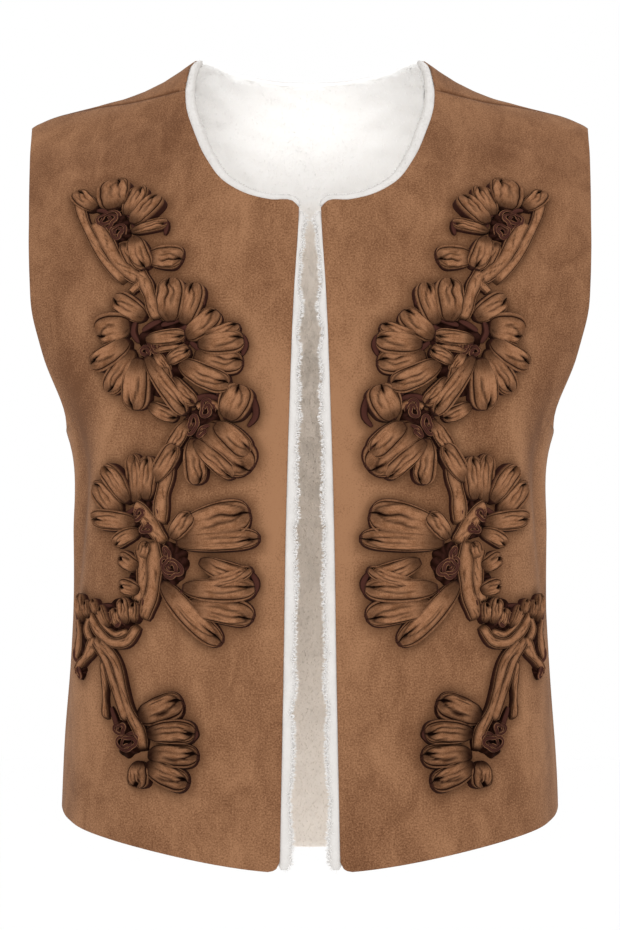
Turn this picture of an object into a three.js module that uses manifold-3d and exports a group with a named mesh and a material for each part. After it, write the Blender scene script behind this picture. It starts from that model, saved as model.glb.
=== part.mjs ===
// A sleeveless, collarless, open-fronted vest as it is worn: suede cloth outside, thick plush
// lining inside, and a trail of gathered ribbon flowers on each front.
// Millimetres, +Z up. The front faces -Y and the wearer's left is +X. The origin is midway between
// the wearer's shoulders, at the height where the lining rests on them.
//
// Every point of the cloth has two measures, as on a cutting table: "u" out from the centre line
// along the cloth, and "v" up the front, over the shoulder and down the back.

import * as THREE from 'three';
import { mergeVertices } from 'three/addons/utils/BufferGeometryUtils.js';
import Module from 'manifold-3d';

const SUEDE = 1.5;
const PLUSH = 7;
const SEAM_GAP = 0.3;
const HEM_AT_CENTRE = -551;
const HEM_RISE_AT_SIDE = 44;
const SIDE_SEAM_TOP = -238;
const SEAM_FORWARD_AT_NECK = 41;
const SHOULDER_TIP_X = 207.5;
const SHOULDER_NECK_X = 92;
const PLUSH_EDGE_AT_HEM = 8.3;
const PLUSH_EDGE_AT_CORNER = 2.4;
const PLUSH_EDGE_AT_NECK = 5;
const RIBBON_RISE = 6;

// Level sections of the form, from below the front hem over the shoulder to below the back hem.
// depth: y at the centre line; height: z there; half: half width; round: exponent of the section's
// curve, 2 for an ellipse; fall: how much of the shoulder line's fall the section has.
const SECTIONS = [
  { depth: -110, height: -580, half: 187, round: 2.35, fall: 0 },
  { depth: -109, height: -500, half: 184.6, round: 2.35, fall: 0 },
  { depth: -108, height: -400, half: 179.7, round: 2.35, fall: 0 },
  { depth: -108.5, height: -310, half: 177.7, round: 2.35, fall: 0 },
  { depth: -110, height: -240, half: 180, round: 2.35, fall: 0 },
  { depth: -110.3, height: -215, half: 189, round: 2.35, fall: 0 },
  { depth: -110, height: -190, half: 205, round: 2.3, fall: 0 },
  { depth: -109, height: -165, half: 215, round: 2.3, fall: 0.01 },
  { depth: -107, height: -140, half: 225.5, round: 2.3, fall: 0.03 },
  { depth: -99, height: -90, half: 232, round: 2.3, fall: 0.14 },
  { depth: -85, height: -45, half: 232, round: 2.3, fall: 0.33 },
  { depth: -66, height: -5, half: 232, round: 2.3, fall: 0.53 },
  { depth: -43, height: 32, half: 232, round: 2.3, fall: 0.73 },
  { depth: -20, height: 66, half: 232, round: 2.3, fall: 0.93 },
  { depth: 0, height: 78, half: 232, round: 2.3, fall: 1 },
  { depth: 24, height: 68, half: 232, round: 2.3, fall: 0.95 },
  { depth: 48, height: 44, half: 232, round: 2.3, fall: 0.82 },
  { depth: 72, height: 14, half: 232, round: 2.3, fall: 0.62 },
  { depth: 91, height: -30, half: 232, round: 2.3, fall: 0.4 },
  { depth: 105, height: -85, half: 232, round: 2.3, fall: 0.2 },
  { depth: 112, height: -140, half: 225.5, round: 2.3, fall: 0.05 },
  { depth: 113, height: -165, half: 215, round: 2.3, fall: 0.02 },
  { depth: 113, height: -190, half: 205, round: 2.3, fall: 0 },
  { depth: 112.5, height: -215, half: 189, round: 2.35, fall: 0 },
  { depth: 112, height: -240, half: 180, round: 2.35, fall: 0 },
  { depth: 109, height: -310, half: 177.7, round: 2.35, fall: 0 },
  { depth: 107, height: -400, half: 179.7, round: 2.35, fall: 0 },
  { depth: 109, height: -500, half: 184.6, round: 2.35, fall: 0 },
  { depth: 110, height: -580, half: 187, round: 2.35, fall: 0 },
];
const RIDGE_ROW = 14;

// The shoulder line: how far it has fallen at each distance out from the centre.
const SHOULDER_LINE = [
  { out: 0, fall: 0 },
  { out: 50, fall: 11 },
  { out: 85, fall: 34.5 },
  { out: 110, fall: 51 },
  { out: 130, fall: 60.5 },
  { out: 160, fall: 69.3 },
  { out: 198, fall: 80.4 },
  { out: 206, fall: 84.5 },
  { out: 212, fall: 90 },
  { out: 236, fall: 112 },
];

// Soft folds hanging from under the arms. turn: degrees round from the centre line; lean: degrees
// it drifts for each millimetre down; depth, and the spread round and down, in degrees and mm.
const SOFT_FOLDS = [
  { turn: 70, height: -300, lean: 0.03, depth: 3.2, round: 5, down: 75 },
  { turn: 83, height: -400, lean: -0.02, depth: 2.6, round: 5, down: 90 },
];

// Outlines seen from the front or the back, from which the pieces are cut.
const FRONT_EDGE = [
  { x: 21.9, z: -551 },
  { x: 19, z: -400 },
  { x: 17.6, z: -312 },
  { x: 14.7, z: -211 },
  { x: 11.9, z: -139 },
  { x: 8.3, z: -81 },
  { x: 7.9, z: -72 },
];
const NECKLINE_FRONT = [
  { x: 7.9, z: -72 },
  { x: 12, z: -67.4 },
  { x: 28.5, z: -65.9 },
  { x: 45, z: -61.8 },
  { x: 62, z: -52.3 },
  { x: 75.5, z: -34.8 },
  { x: 85, z: -14 },
  { x: 91.8, z: 10.2 },
  { x: 92, z: 22 },
  { x: 89, z: 38 },
];
const NECKLINE_BACK = [
  { x: 75, z: 43 },
  { x: 58, z: 37.5 },
  { x: 30, z: 33.5 },
  { x: 0, z: 32 },
];
// The armhole seen from the side, from under the arm up to the shoulder.
const ARMHOLE_FRONT = [
  { y: -18, z: -235 },
  { y: -31.5, z: -225 },
  { y: -39, z: -210 },
  { y: -45, z: -196 },
  { y: -47, z: -181 },
  { y: -51, z: -152 },
  { y: -54.5, z: -123 },
  { y: -47, z: -78 },
  { y: -29, z: -40 },
];
const ARMHOLE_BACK = [
  { y: 20, z: -235 },
  { y: 34.5, z: -224 },
  { y: 42, z: -208 },
  { y: 49.5, z: -190 },
  { y: 54, z: -165 },
  { y: 60, z: -132 },
  { y: 58, z: -90 },
  { y: 41, z: -45 },
];

// ---- The form of the cloth ----

// Smooth reading of a table whose rows stand at the given knots.
function readTable(rows, knots, column, at) {
  const last = rows.length - 1;
  let row = 0;
  while (row < last - 1 && at > knots[row + 1]) row += 1;
  const rise = (k) => (rows[k + 1][column] - rows[k][column]) / (knots[k + 1] - knots[k]);
  const slope = (k) => {
    if (k === 0) return rise(0);
    if (k === last) return rise(last - 1);
    const before = knots[k] - knots[k - 1];
    const after = knots[k + 1] - knots[k];
    return (rise(k - 1) * after + rise(k) * before) / (before + after);
  };
  const span = knots[row + 1] - knots[row];
  const t = THREE.MathUtils.clamp((at - knots[row]) / span, -0.2, 1.2);
  const t2 = t * t;
  const t3 = t2 * t;
  return (2 * t3 - 3 * t2 + 1) * rows[row][column]
    + (t3 - 2 * t2 + t) * slope(row) * span
    + (3 * t2 - 2 * t3) * rows[row + 1][column]
    + (t3 - t2) * slope(row + 1) * span;
}

const sectionKnots = [0];
for (let k = 1; k < SECTIONS.length; k += 1) {
  const rise = SECTIONS[k].height - SECTIONS[k - 1].height;
  const run = SECTIONS[k].depth - SECTIONS[k - 1].depth;
  sectionKnots.push(sectionKnots[k - 1] + Math.hypot(rise, run));
}
const RIDGE_V = sectionKnots[RIDGE_ROW];
const TOP_V = sectionKnots[SECTIONS.length - 1];

const shoulderKnots = SHOULDER_LINE.map((row) => row.out);
const shoulderFall = (x) => readTable(SHOULDER_LINE, shoulderKnots, 'fall', Math.abs(x));

const sectionAt = (v) => {
  const section = {};
  for (const column of ['depth', 'height', 'half', 'round', 'fall']) {
    section[column] = readTable(SECTIONS, sectionKnots, column, v);
  }
  return section;
};

const heightAt = (section, x) => section.height - section.fall * shoulderFall(x);

// How deep the soft folds are here, at a turn in radians round the section.
function foldDepth(turn, height) {
  const degrees = Math.abs(THREE.MathUtils.radToDeg(turn));
  let depth = 0;
  for (const fold of SOFT_FOLDS) {
    const middle = fold.turn + fold.lean * (fold.height - height);
    const along = (height - fold.height) / fold.down;
    // The twin past the side seam leaves the cloth square to the seam where the pieces meet.
    for (const aside of [(degrees - middle) / fold.round, (180 - degrees - middle) / fold.round]) {
      depth += fold.depth * Math.exp(-aside * aside - along * along);
    }
  }
  return depth;
}

// The point of a section at a turn round it: 0 at the centre line, a quarter turn at the side.
function turnPoint(section, turn) {
  const sine = Math.abs(Math.sin(turn));
  const cosine = Math.abs(Math.cos(turn));
  const reach = (sine ** section.round + cosine ** section.round) ** (-1 / section.round);
  const x = section.half * reach * Math.sin(turn);
  const y = section.depth * reach * Math.cos(turn);
  const z = heightAt(section, x);
  const dent = foldDepth(turn, z) / Math.hypot(x, y, 1);
  return new THREE.Vector3(x * (1 - dent), y * (1 - dent), z);
}

const ARC_STEPS = 48;
const QUARTER = Math.PI / 2;
const arcTables = new Map();

// Lengths along the cloth from the centre line, one for each equal step of turn up to the side.
function arcsAt(v) {
  const key = v.toFixed(3);
  if (!arcTables.has(key)) {
    const section = sectionAt(v);
    const arcs = [0];
    let before = turnPoint(section, 0);
    for (let step = 1; step <= ARC_STEPS; step += 1) {
      const point = turnPoint(section, (step / ARC_STEPS) * QUARTER);
      arcs.push(arcs[step - 1] + point.distanceTo(before));
      before = point;
    }
    arcTables.set(key, arcs);
  }
  return arcTables.get(key);
}

const sideArc = (v) => arcsAt(v)[ARC_STEPS];

function turnAt(u, v) {
  const arcs = arcsAt(v);
  const out = Math.abs(u);
  let step = 0;
  while (step < ARC_STEPS - 1 && arcs[step + 1] < out) step += 1;
  const share = step + (out - arcs[step]) / (arcs[step + 1] - arcs[step]);
  return Math.sign(u) * (share / ARC_STEPS) * QUARTER;
}

const cloth = (u, v) => turnPoint(sectionAt(v), turnAt(u, v));

// The cloth's point moved outwards by "out" along its face's own direction.
const FEEL = 1.5;
function clothPoint(u, v, out) {
  const across = cloth(u + FEEL, v).sub(cloth(u - FEEL, v));
  const along = cloth(u, v + FEEL).sub(cloth(u, v - FEEL));
  return cloth(u, v).addScaledVector(across.cross(along).normalize(), out);
}

// Share of a quarter section's width at a share of its depth, and the other way round.
const otherShare = (section, share) => (1 - Math.min(share, 1) ** section.round) ** (1 / section.round);

// Measures on the cloth of a point of the front or back, given by its height and either its width
// from the centre or, seen from the side, its depth.
function measure({ x, y, z }, onBack = false) {
  const widthShare = (section) => (
    y === undefined ? Math.min(x / section.half, 1) : otherShare(section, y / section.depth)
  );
  let low = onBack ? TOP_V : 0;
  let high = RIDGE_V;
  for (let step = 0; step < 40; step += 1) {
    const section = sectionAt((low + high) / 2);
    if (heightAt(section, widthShare(section) * section.half) < z) low = (low + high) / 2;
    else high = (low + high) / 2;
  }
  const v = (low + high) / 2;
  const section = sectionAt(v);
  const share = widthShare(section);
  const turn = Math.atan2(share, otherShare(section, share));
  const arcs = arcsAt(v);
  const steps = (turn / QUARTER) * ARC_STEPS;
  const step = Math.min(Math.floor(steps), ARC_STEPS - 1);
  return { u: arcs[step] + (arcs[step + 1] - arcs[step]) * (steps - step), v };
}

// ---- Outlines of the pieces, each a line on the cloth read from 0 to 1 ----

function smoothLine(places) {
  const knots = [0];
  for (let k = 1; k < places.length; k += 1) {
    const step = Math.hypot(places[k].u - places[k - 1].u, places[k].v - places[k - 1].v);
    knots.push(knots[k - 1] + step);
  }
  const length = knots[knots.length - 1];
  return (share) => ({
    u: readTable(places, knots, 'u', share * length),
    v: readTable(places, knots, 'v', share * length),
  });
}

const hemLine = (onBack) => (share) => {
  const z = HEM_AT_CENTRE + (HEM_RISE_AT_SIDE * (1 - Math.cos(Math.PI * share))) / 2;
  const { v } = measure({ x: 0, z }, onBack);
  return { u: share * sideArc(v), v };
};

const sideLine = (onBack) => (share) => {
  const bottom = HEM_AT_CENTRE + HEM_RISE_AT_SIDE;
  const z = THREE.MathUtils.lerp(bottom, SIDE_SEAM_TOP, share);
  const { v } = measure({ x: 0, z }, onBack);
  return { u: sideArc(v) - SEAM_GAP / 2, v };
};

// The shoulder seam lies on the ridge at the tip and runs forward of it towards the neck.
const SEAM_BEND = 1.6;
const seamForward = (x) => {
  const share = (SHOULDER_TIP_X - x) / (SHOULDER_TIP_X - SHOULDER_NECK_X);
  return SEAM_FORWARD_AT_NECK * THREE.MathUtils.clamp(share, 0, 1) ** SEAM_BEND;
};
const tipArc = measure({ x: SHOULDER_TIP_X, z: heightAt(SECTIONS[RIDGE_ROW], SHOULDER_TIP_X) }).u;

const neckPlaces = [
  ...NECKLINE_FRONT.map((place) => measure(place)),
  ...NECKLINE_BACK.map((place) => measure(place, true)),
];
const neckLine = smoothLine(neckPlaces);
const neckSeamV = RIDGE_V - SEAM_FORWARD_AT_NECK;

// Share of the neckline at which it reaches a place up the cloth.
function neckShareAt(v) {
  let low = 0;
  let high = 1;
  for (let step = 0; step < 40; step += 1) {
    const middle = (low + high) / 2;
    if (neckLine(middle).v < v) low = middle;
    else high = middle;
  }
  return (low + high) / 2;
}

// "side" is -1 for the front's edge of the seam and 1 for the back's.
const seamNeck = (side) => neckShareAt(neckSeamV + (side * SEAM_GAP) / 2);
const seamLine = (side) => (share) => {
  const u = THREE.MathUtils.lerp(neckLine(seamNeck(side)).u, tipArc, share);
  const x = THREE.MathUtils.lerp(SHOULDER_NECK_X, SHOULDER_TIP_X, share);
  return { u, v: RIDGE_V - seamForward(x) + (side * SEAM_GAP) / 2 };
};

const armholeLine = (places, onBack) => smoothLine([
  sideLine(onBack)(1),
  ...places.map((place) => measure(place, onBack)),
  seamLine(onBack ? 1 : -1)(1),
]);

const frontEdge = smoothLine(FRONT_EDGE.map((place) => measure(place)));

// Two lines end to end: the second begins at the share "corner".
const joinLines = (first, second, corner) => (share) => (
  share <= corner ? first(share / corner) : second((share - corner) / (1 - corner))
);

const stretch = (line, from, to) => (share) => line(THREE.MathUtils.lerp(from, to, share));

// Fills the field between four lines: bottom and top read outwards, left and right read upwards.
function fillField(bottom, top, left, right) {
  return (across, up) => {
    const place = {};
    for (const key of ['u', 'v']) {
      const rows = (1 - up) * bottom(across)[key] + up * top(across)[key];
      const columns = (1 - across) * left(up)[key] + across * right(up)[key];
      const corners = (1 - across) * ((1 - up) * bottom(0)[key] + up * top(0)[key])
        + across * ((1 - up) * bottom(1)[key] + up * top(1)[key]);
      place[key] = rows + columns - corners;
    }
    return place;
  };
}

// ---- Panels: a net of places on the cloth, and walls made from it ----

const ROWS = 16;
const NECK_CORNER_ROW = 9;
const UNDERARM_ROW = 7;
const SEAM_COLUMNS = 8;
const BACK_NECK_COLUMNS = 4;
const BACK_COLUMNS = BACK_NECK_COLUMNS + SEAM_COLUMNS;

// A cell is four places, anticlockwise seen from outside, and is folded from its first to its third.
const turnOver = ([a, b, c, d]) => [a, d, c, b];

// A net of rows and columns over a field, each cell folded along its shorter diagonal.
function makeNet(field, columns, rows) {
  const places = [];
  for (let row = 0; row <= rows; row += 1) {
    for (let column = 0; column <= columns; column += 1) {
      places.push(field(column / columns, row / rows));
    }
  }
  const gap = (one, other) => (
    Math.hypot(places[one].u - places[other].u, places[one].v - places[other].v)
  );
  const cells = [];
  for (let row = 0; row < rows; row += 1) {
    for (let column = 0; column < columns; column += 1) {
      const a = row * (columns + 1) + column;
      const b = a + 1;
      const c = b + columns + 1;
      const d = a + columns + 1;
      cells.push(gap(a, c) < gap(b, d) ? [a, b, c, d] : [b, c, d, a]);
    }
  }
  return { places, cells };
}

function makeFrontNet() {
  const bottom = stretch(hemLine(false), frontEdge(0).u / sideArc(0), 1);
  const left = joinLines(frontEdge, stretch(neckLine, 0, seamNeck(-1)), NECK_CORNER_ROW / ROWS);
  const armhole = armholeLine(ARMHOLE_FRONT, false);
  const right = joinLines(sideLine(false), armhole, UNDERARM_ROW / ROWS);
  return makeNet(fillField(bottom, seamLine(-1), left, right), SEAM_COLUMNS, ROWS);
}

// Half of the back, from the centre line out to the side.
function makeHalfBackNet() {
  const neckShare = BACK_NECK_COLUMNS / BACK_COLUMNS;
  const fromCentre = stretch(neckLine, 1, seamNeck(1));
  const top = joinLines(fromCentre, seamLine(1), neckShare);
  const centre = (share) => ({
    u: 0,
    v: THREE.MathUtils.lerp(hemLine(true)(0).v, neckLine(1).v, share),
  });
  const armhole = armholeLine(ARMHOLE_BACK, true);
  const right = joinLines(sideLine(true), armhole, UNDERARM_ROW / ROWS);
  const { places, cells } = makeNet(fillField(hemLine(true), top, centre, right), BACK_COLUMNS, ROWS);
  // "v" runs down the back, so its cells come out facing inwards.
  return { places, cells: cells.map(turnOver) };
}

// The other half of a net, joined on at the centre line, with every cell still facing outwards.
function mirrorNet({ places, cells }) {
  const whole = [...places];
  const twins = places.map((place, index) => {
    if (place.u === 0) return index;
    whole.push({ u: -place.u, v: place.v });
    return whole.length - 1;
  });
  const turned = cells.map((cell) => turnOver(cell.map((index) => twins[index])));
  return { places: whole, cells: [...cells, ...turned] };
}

// Adds a strip of cells outside the line through the given places, as wide as "width" says. It is
// square to the centre line where it starts on it, and to the shoulder seam where it ends.
function addEdge({ places, cells }, line, width, sideways) {
  const whole = [...places];
  const outer = line.map((index, k) => {
    const { u, v } = places[index];
    const before = places[line[Math.max(k - 1, 0)]];
    const after = places[line[Math.min(k + 1, line.length - 1)]];
    const tangent = new THREE.Vector2(after.u - before.u, after.v - before.v);
    if (u === 0) tangent.set(1, 0);
    if (k === line.length - 1) tangent.set(0, sideways);
    tangent.setLength(sideways * width(k));
    whole.push({ u: u - tangent.y, v: v + tangent.x });
    return whole.length - 1;
  });
  const strip = [];
  for (let k = 0; k < line.length - 1; k += 1) {
    const cell = [line[k], line[k + 1], outer[k + 1], outer[k]];
    strip.push(sideways > 0 ? cell : turnOver(cell));
  }
  return { places: whole, cells: [...cells, ...strip] };
}

// A closed wall over all the cells of a net, from "inner" to "outer" out of the cloth's face.
function wallGeometry({ places, cells }, inner, outer) {
  const count = places.length;
  const positions = [];
  for (const out of [outer, inner]) {
    for (const { u, v } of places) positions.push(...clothPoint(u, v, out).toArray());
  }
  const faces = [];
  const quad = (a, b, c, d) => faces.push(a, b, c, a, c, d);
  const edges = new Map();
  for (const [a, b, c, d] of cells) {
    quad(a, b, c, d);
    faces.push(count + a, count + c, count + b, count + a, count + d, count + c);
    for (const [from, to] of [[a, b], [b, c], [c, d], [d, a]]) edges.set(`${from} ${to}`, [from, to]);
  }
  for (const [from, to] of edges.values()) {
    if (!edges.has(`${to} ${from}`)) quad(to, from, count + from, count + to);
  }
  return closedGeometry(positions, faces);
}

function closedGeometry(positions, faces) {
  const geometry = new THREE.BufferGeometry();
  geometry.setAttribute('position', new THREE.Float32BufferAttribute(positions, 3));
  geometry.setIndex(faces);
  return geometry;
}

// ---- Ribbon work: closed lumps standing on the cloth, joined, and cut to sit on the panel ----

const ROOT = 4;

// The columns that a petal of a rosette has from one side to its middle. aside: share of the way to
// the notch beside it; reach: share of its length; rise at its edge, and rise half way in.
const PETAL_COLUMNS = [
  { aside: -1, reach: 0.8, edge: 0.35, inside: 0.6 },
  { aside: -0.5, reach: 0.96, edge: 0.75, inside: 1 },
  { aside: 0, reach: 1, edge: 0.6, inside: 0.75 },
  { aside: 0.5, reach: 0.96, edge: 0.75, inside: 1 },
  { aside: 1, reach: 0.8, edge: 0.35, inside: 0.6 },
];
const INSIDE = 0.55;
const HUB_RISE = 0.6;
const HUB_REACH = 7;
const WIDEST_HALF_PETAL = 15;

// A single folded loop of ribbon, from its root to its tip.
const LOOP_STATIONS = [
  { along: 0, half: 0.6, rise: 0.8 },
  { along: 0.6, half: 1, rise: 1 },
  { along: 1, half: 0.55, rise: 0.8 },
];
const LOOP_ACROSS = [
  { share: -1, rise: 0.85 },
  { share: 0, rise: 0.6 },
  { share: 1, rise: 0.85 },
];
const STEM_ACROSS = [
  { share: -1, rise: 0.6 },
  { share: 0, rise: 0.85 },
  { share: 1, rise: 0.6 },
];

const wasm = await Module();
wasm.setup();

function toSolid(geometry) {
  const merged = mergeVertices(geometry, 1e-4);
  const vertProperties = Float32Array.from(merged.attributes.position.array);
  const triVerts = Uint32Array.from(merged.index.array);
  return new wasm.Manifold(new wasm.Mesh({ numProp: 3, vertProperties, triVerts }));
}

function toGeometry(solid) {
  const { vertProperties, triVerts } = solid.getMesh();
  return closedGeometry(Array.from(vertProperties), Array.from(triVerts));
}

// A lump from stations along it, each a row of places with the height that each stands at.
function lump(stations) {
  const width = stations[0].length;
  const last = stations.length - 1;
  const positions = [];
  for (const station of stations) {
    for (const { u, v, rise } of station) positions.push(...clothPoint(u, v, rise).toArray());
  }
  for (const station of stations) {
    for (const { u, v } of station) positions.push(...clothPoint(u, v, -ROOT).toArray());
  }
  const under = stations.length * width;
  const faces = [];
  const quad = (a, b, c, d) => faces.push(a, b, c, a, c, d);
  for (let j = 0; j < last; j += 1) {
    for (let i = 0; i < width - 1; i += 1) {
      const a = j * width + i;
      quad(a, a + 1, a + width + 1, a + width);
      quad(under + a, under + a + width, under + a + width + 1, under + a + 1);
    }
    const left = j * width;
    const right = left + width - 1;
    quad(left, left + width, under + left + width, under + left);
    quad(right + width, right, under + right, under + right + width);
  }
  for (let i = 0; i < width - 1; i += 1) {
    const top = last * width + i;
    quad(i + 1, i, under + i, under + i + 1);
    quad(top, top + 1, under + top + 1, under + top);
  }
  return toSolid(closedGeometry(positions, faces));
}

// Petals side by side round a middle, as one lump with a notch between each two of them.
function rosette(middle, petals, grow) {
  const columns = [];
  petals.forEach((row, k) => {
    const next = petals[(k + 1) % petals.length];
    const before = petals[(k + petals.length - 1) % petals.length];
    const turnTo = (other) => THREE.MathUtils.euclideanModulo(other.aim - row.aim, 360) || 360;
    const after = turnTo(next);
    const halves = { '-1': (360 - turnTo(before)) / 2, 1: after / 2 };
    for (const column of PETAL_COLUMNS) {
      const half = Math.min(halves[column.aside < 0 ? -1 : 1], WIDEST_HALF_PETAL)
        + THREE.MathUtils.radToDeg(grow / (INSIDE * row.reach));
      const aim = row.aim + column.aside * half;
      const reach = column.reach * row.reach;
      const isShared = column.aside === 1 && after / 2 <= WIDEST_HALF_PETAL;
      if (!isShared) columns.push({ ...column, aim, reach });
    }
    if (after / 2 > WIDEST_HALF_PETAL) {
      columns.push({ aim: row.aim + after / 2, reach: HUB_REACH, edge: HUB_RISE, inside: HUB_RISE });
    }
  });
  const place = (aim, reach, rise) => {
    const angle = THREE.MathUtils.degToRad(aim);
    const u = middle.u + reach * Math.cos(angle);
    return clothPoint(u, middle.v + reach * Math.sin(angle), rise).toArray();
  };
  const positions = [...place(0, 0, RIBBON_RISE * HUB_RISE + grow), ...place(0, 0, -ROOT)];
  for (const { aim, reach, edge, inside } of columns) {
    positions.push(...place(aim, INSIDE * reach, RIBBON_RISE * inside + grow));
    positions.push(...place(aim, reach + grow, RIBBON_RISE * edge + grow));
    positions.push(...place(aim, reach + grow, -ROOT));
  }
  const faces = [];
  columns.forEach((_, k) => {
    const a = 2 + 3 * k;
    const b = 2 + 3 * ((k + 1) % columns.length);
    faces.push(0, a, b, a, a + 1, b + 1, a, b + 1, b);
    faces.push(a + 1, a + 2, b + 2, a + 1, b + 2, b + 1, 1, b + 2, a + 2);
  });
  return toSolid(closedGeometry(positions, faces));
}

function loop(middle, row, grow) {
  const aim = THREE.MathUtils.degToRad(row.aim);
  const stations = LOOP_STATIONS.map((station) => {
    const along = station.along * row.long + (station.along - 0.5) * 2 * grow;
    const half = (station.half * row.wide) / 2 + grow;
    return LOOP_ACROSS.map(({ share, rise }) => ({
      u: middle.u + row.u + along * Math.cos(aim) + share * half * Math.sin(aim),
      v: middle.v + row.v + along * Math.sin(aim) - share * half * Math.cos(aim),
      rise: RIBBON_RISE * rise * station.rise + grow,
    }));
  });
  return lump(stations);
}

// A stem of ribbon along a smooth line through a few places.
const STEM_STATIONS = 4;
function stem(middle, row, grow) {
  const line = smoothLine(row.path.map(([u, v]) => ({ u: middle.u + u, v: middle.v + v })));
  const [start] = row.path;
  const end = row.path[row.path.length - 1];
  const extra = grow / Math.hypot(end[0] - start[0], end[1] - start[1]);
  const stations = [];
  for (let k = 0; k <= STEM_STATIONS; k += 1) {
    const share = THREE.MathUtils.lerp(-extra, 1 + extra, k / STEM_STATIONS);
    const before = line(share - 0.05);
    const after = line(share + 0.05);
    const run = Math.hypot(after.u - before.u, after.v - before.v);
    const across = { u: (after.v - before.v) / run, v: (before.u - after.u) / run };
    const half = row.wide / 2 + grow;
    const { u, v } = line(share);
    stations.push(STEM_ACROSS.map((place) => ({
      u: u + place.share * half * across.u,
      v: v + place.share * half * across.v,
      rise: RIBBON_RISE * place.rise + grow,
    })));
  }
  return lump(stations);
}

// Each flower: its middle on the cloth, its petals round that middle, and its single loops and its
// stems, measured from that middle. u is out towards the side, v is up, and an aim is in degrees
// from u towards v.
const FLOWERS = {
  big: {
    middle: { u: 108, v: 405 },
    petals: [
      { aim: -154, reach: 55 },
      { aim: -131, reach: 48 },
      { aim: -108, reach: 49 },
      { aim: -88, reach: 49 },
      { aim: -64, reach: 49 },
      { aim: -37, reach: 52 },
      { aim: -12, reach: 52 },
      { aim: 20, reach: 51 },
      { aim: 48, reach: 52 },
      { aim: 75, reach: 53 },
      { aim: 98, reach: 51 },
      { aim: 122, reach: 53 },
      { aim: 146, reach: 50 },
      { aim: 169, reach: 60 },
      { aim: 188, reach: 59 },
    ],
    loops: [],
    stems: [],
  },
  top: {
    middle: { u: 147, v: 511 },
    petals: [
      { aim: -128, reach: 43 },
      { aim: 48, reach: 47 },
      { aim: 83, reach: 43 },
      { aim: 113, reach: 43 },
      { aim: 143, reach: 44 },
      { aim: 170, reach: 42 },
    ],
    loops: [{ u: -25, v: -37, aim: 177, long: 28, wide: 16 }],
    stems: [{ wide: 13, path: [[18, 10], [10, -16], [-3, -35], [-20, -50]] }],
  },
  mid: {
    middle: { u: 79, v: 349 },
    petals: [
      { aim: -158, reach: 45 },
      { aim: -135, reach: 41 },
      { aim: -115, reach: 37 },
      { aim: -93, reach: 38 },
      { aim: -40, reach: 22 },
      { aim: 60, reach: 20 },
      { aim: 138, reach: 42 },
    ],
    loops: [],
    stems: [],
  },
  shell: {
    middle: { u: 124, v: 288 },
    petals: [
      { aim: -48, reach: 27 },
      { aim: -10, reach: 42 },
      { aim: 24, reach: 46 },
      { aim: 50, reach: 46 },
      { aim: 77, reach: 41 },
      { aim: 100, reach: 40 },
      { aim: 122, reach: 51 },
    ],
    loops: [],
    stems: [
      { wide: 10, path: [[-24, 42], [-22, 30], [-18, 12], [-14, -6]] },
      { wide: 13, path: [[6, 2], [-7, -12], [-17, -24]] },
    ],
  },
  fan: {
    middle: { u: 100, v: 259 },
    petals: [
      { aim: -158, reach: 64 },
      { aim: -141, reach: 68 },
      { aim: -113, reach: 69 },
      { aim: -50, reach: 16 },
      { aim: 124, reach: 32 },
      { aim: 154, reach: 60 },
      { aim: 176, reach: 61 },
    ],
    loops: [],
    stems: [],
  },
  berries: {
    middle: { u: 120, v: 238 },
    petals: [
      { aim: 40, reach: 17 },
      { aim: 95, reach: 25 },
      { aim: -15, reach: 18 },
    ],
    loops: [
      { u: 29, v: -40, aim: 82, long: 28, wide: 16 },
      { u: 18, v: -42, aim: 88, long: 30, wide: 12 },
    ],
    stems: [
      { wide: 13, path: [[0, 20], [-6, 6], [-4, -10], [4, -32]] },
      { wide: 9, path: [[49, -23], [38, -38], [25, -45], [11, -42], [2, -26]] },
    ],
  },
  leaf: {
    middle: { u: 186, v: 196 },
    petals: [
      { aim: -85, reach: 29 },
      { aim: -45, reach: 24 },
      { aim: 5, reach: 16 },
      { aim: 60, reach: 28 },
      { aim: 96, reach: 27 },
      { aim: -140, reach: 16 },
    ],
    loops: [],
    stems: [],
  },
  low: {
    middle: { u: 123, v: 120 },
    petals: [
      { aim: -88, reach: 33 },
      { aim: 40, reach: 17 },
      { aim: 134, reach: 41 },
      { aim: 164, reach: 41 },
      { aim: 191, reach: 43 },
      { aim: 219, reach: 43 },
    ],
    loops: [],
    stems: [{ wide: 12, path: [[42, 76], [26, 66], [18, 50], [13, 34], [7, 19], [0, 2]] }],
  },
};

function flowerSolid({ middle, petals, loops, stems }, grow) {
  const lumps = [
    rosette(middle, petals, grow),
    ...loops.map((row) => loop(middle, row, grow)),
    ...stems.map((row) => stem(middle, row, grow)),
  ];
  return lumps.reduce((whole, next) => whole.add(next));
}

// ---- Putting the vest together ----

const SUEDE_TAN = new THREE.MeshStandardMaterial({ color: 0x9e7455, roughness: 0.95, metalness: 0 });
const RIBBON_TAN = new THREE.MeshStandardMaterial({ color: 0x7a5236, roughness: 0.9, metalness: 0 });
const PLUSH_WHITE = new THREE.MeshStandardMaterial({ color: 0xf2efe8, roughness: 1, metalness: 0 });

const vest = new THREE.Group();

function addPiece(name, geometry, material) {
  const piece = new THREE.Mesh(geometry, material.clone());
  piece.name = name;
  vest.add(piece);
}

// The same piece for the wearer's right, with its faces still pointing out.
function mirrored(geometry) {
  const twin = geometry.clone();
  const positions = twin.attributes.position;
  for (let k = 0; k < positions.count; k += 1) positions.setX(k, -positions.getX(k));
  twin.index.array.reverse();
  return twin;
}

function addPair(name, geometry, material) {
  addPiece(`${name}_left`, geometry, material);
  addPiece(`${name}_right`, mirrored(geometry), material);
}

const frontNet = makeFrontNet();
const halfBackNet = makeHalfBackNet();
const backNet = mirrorNet(halfBackNet);

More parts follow.
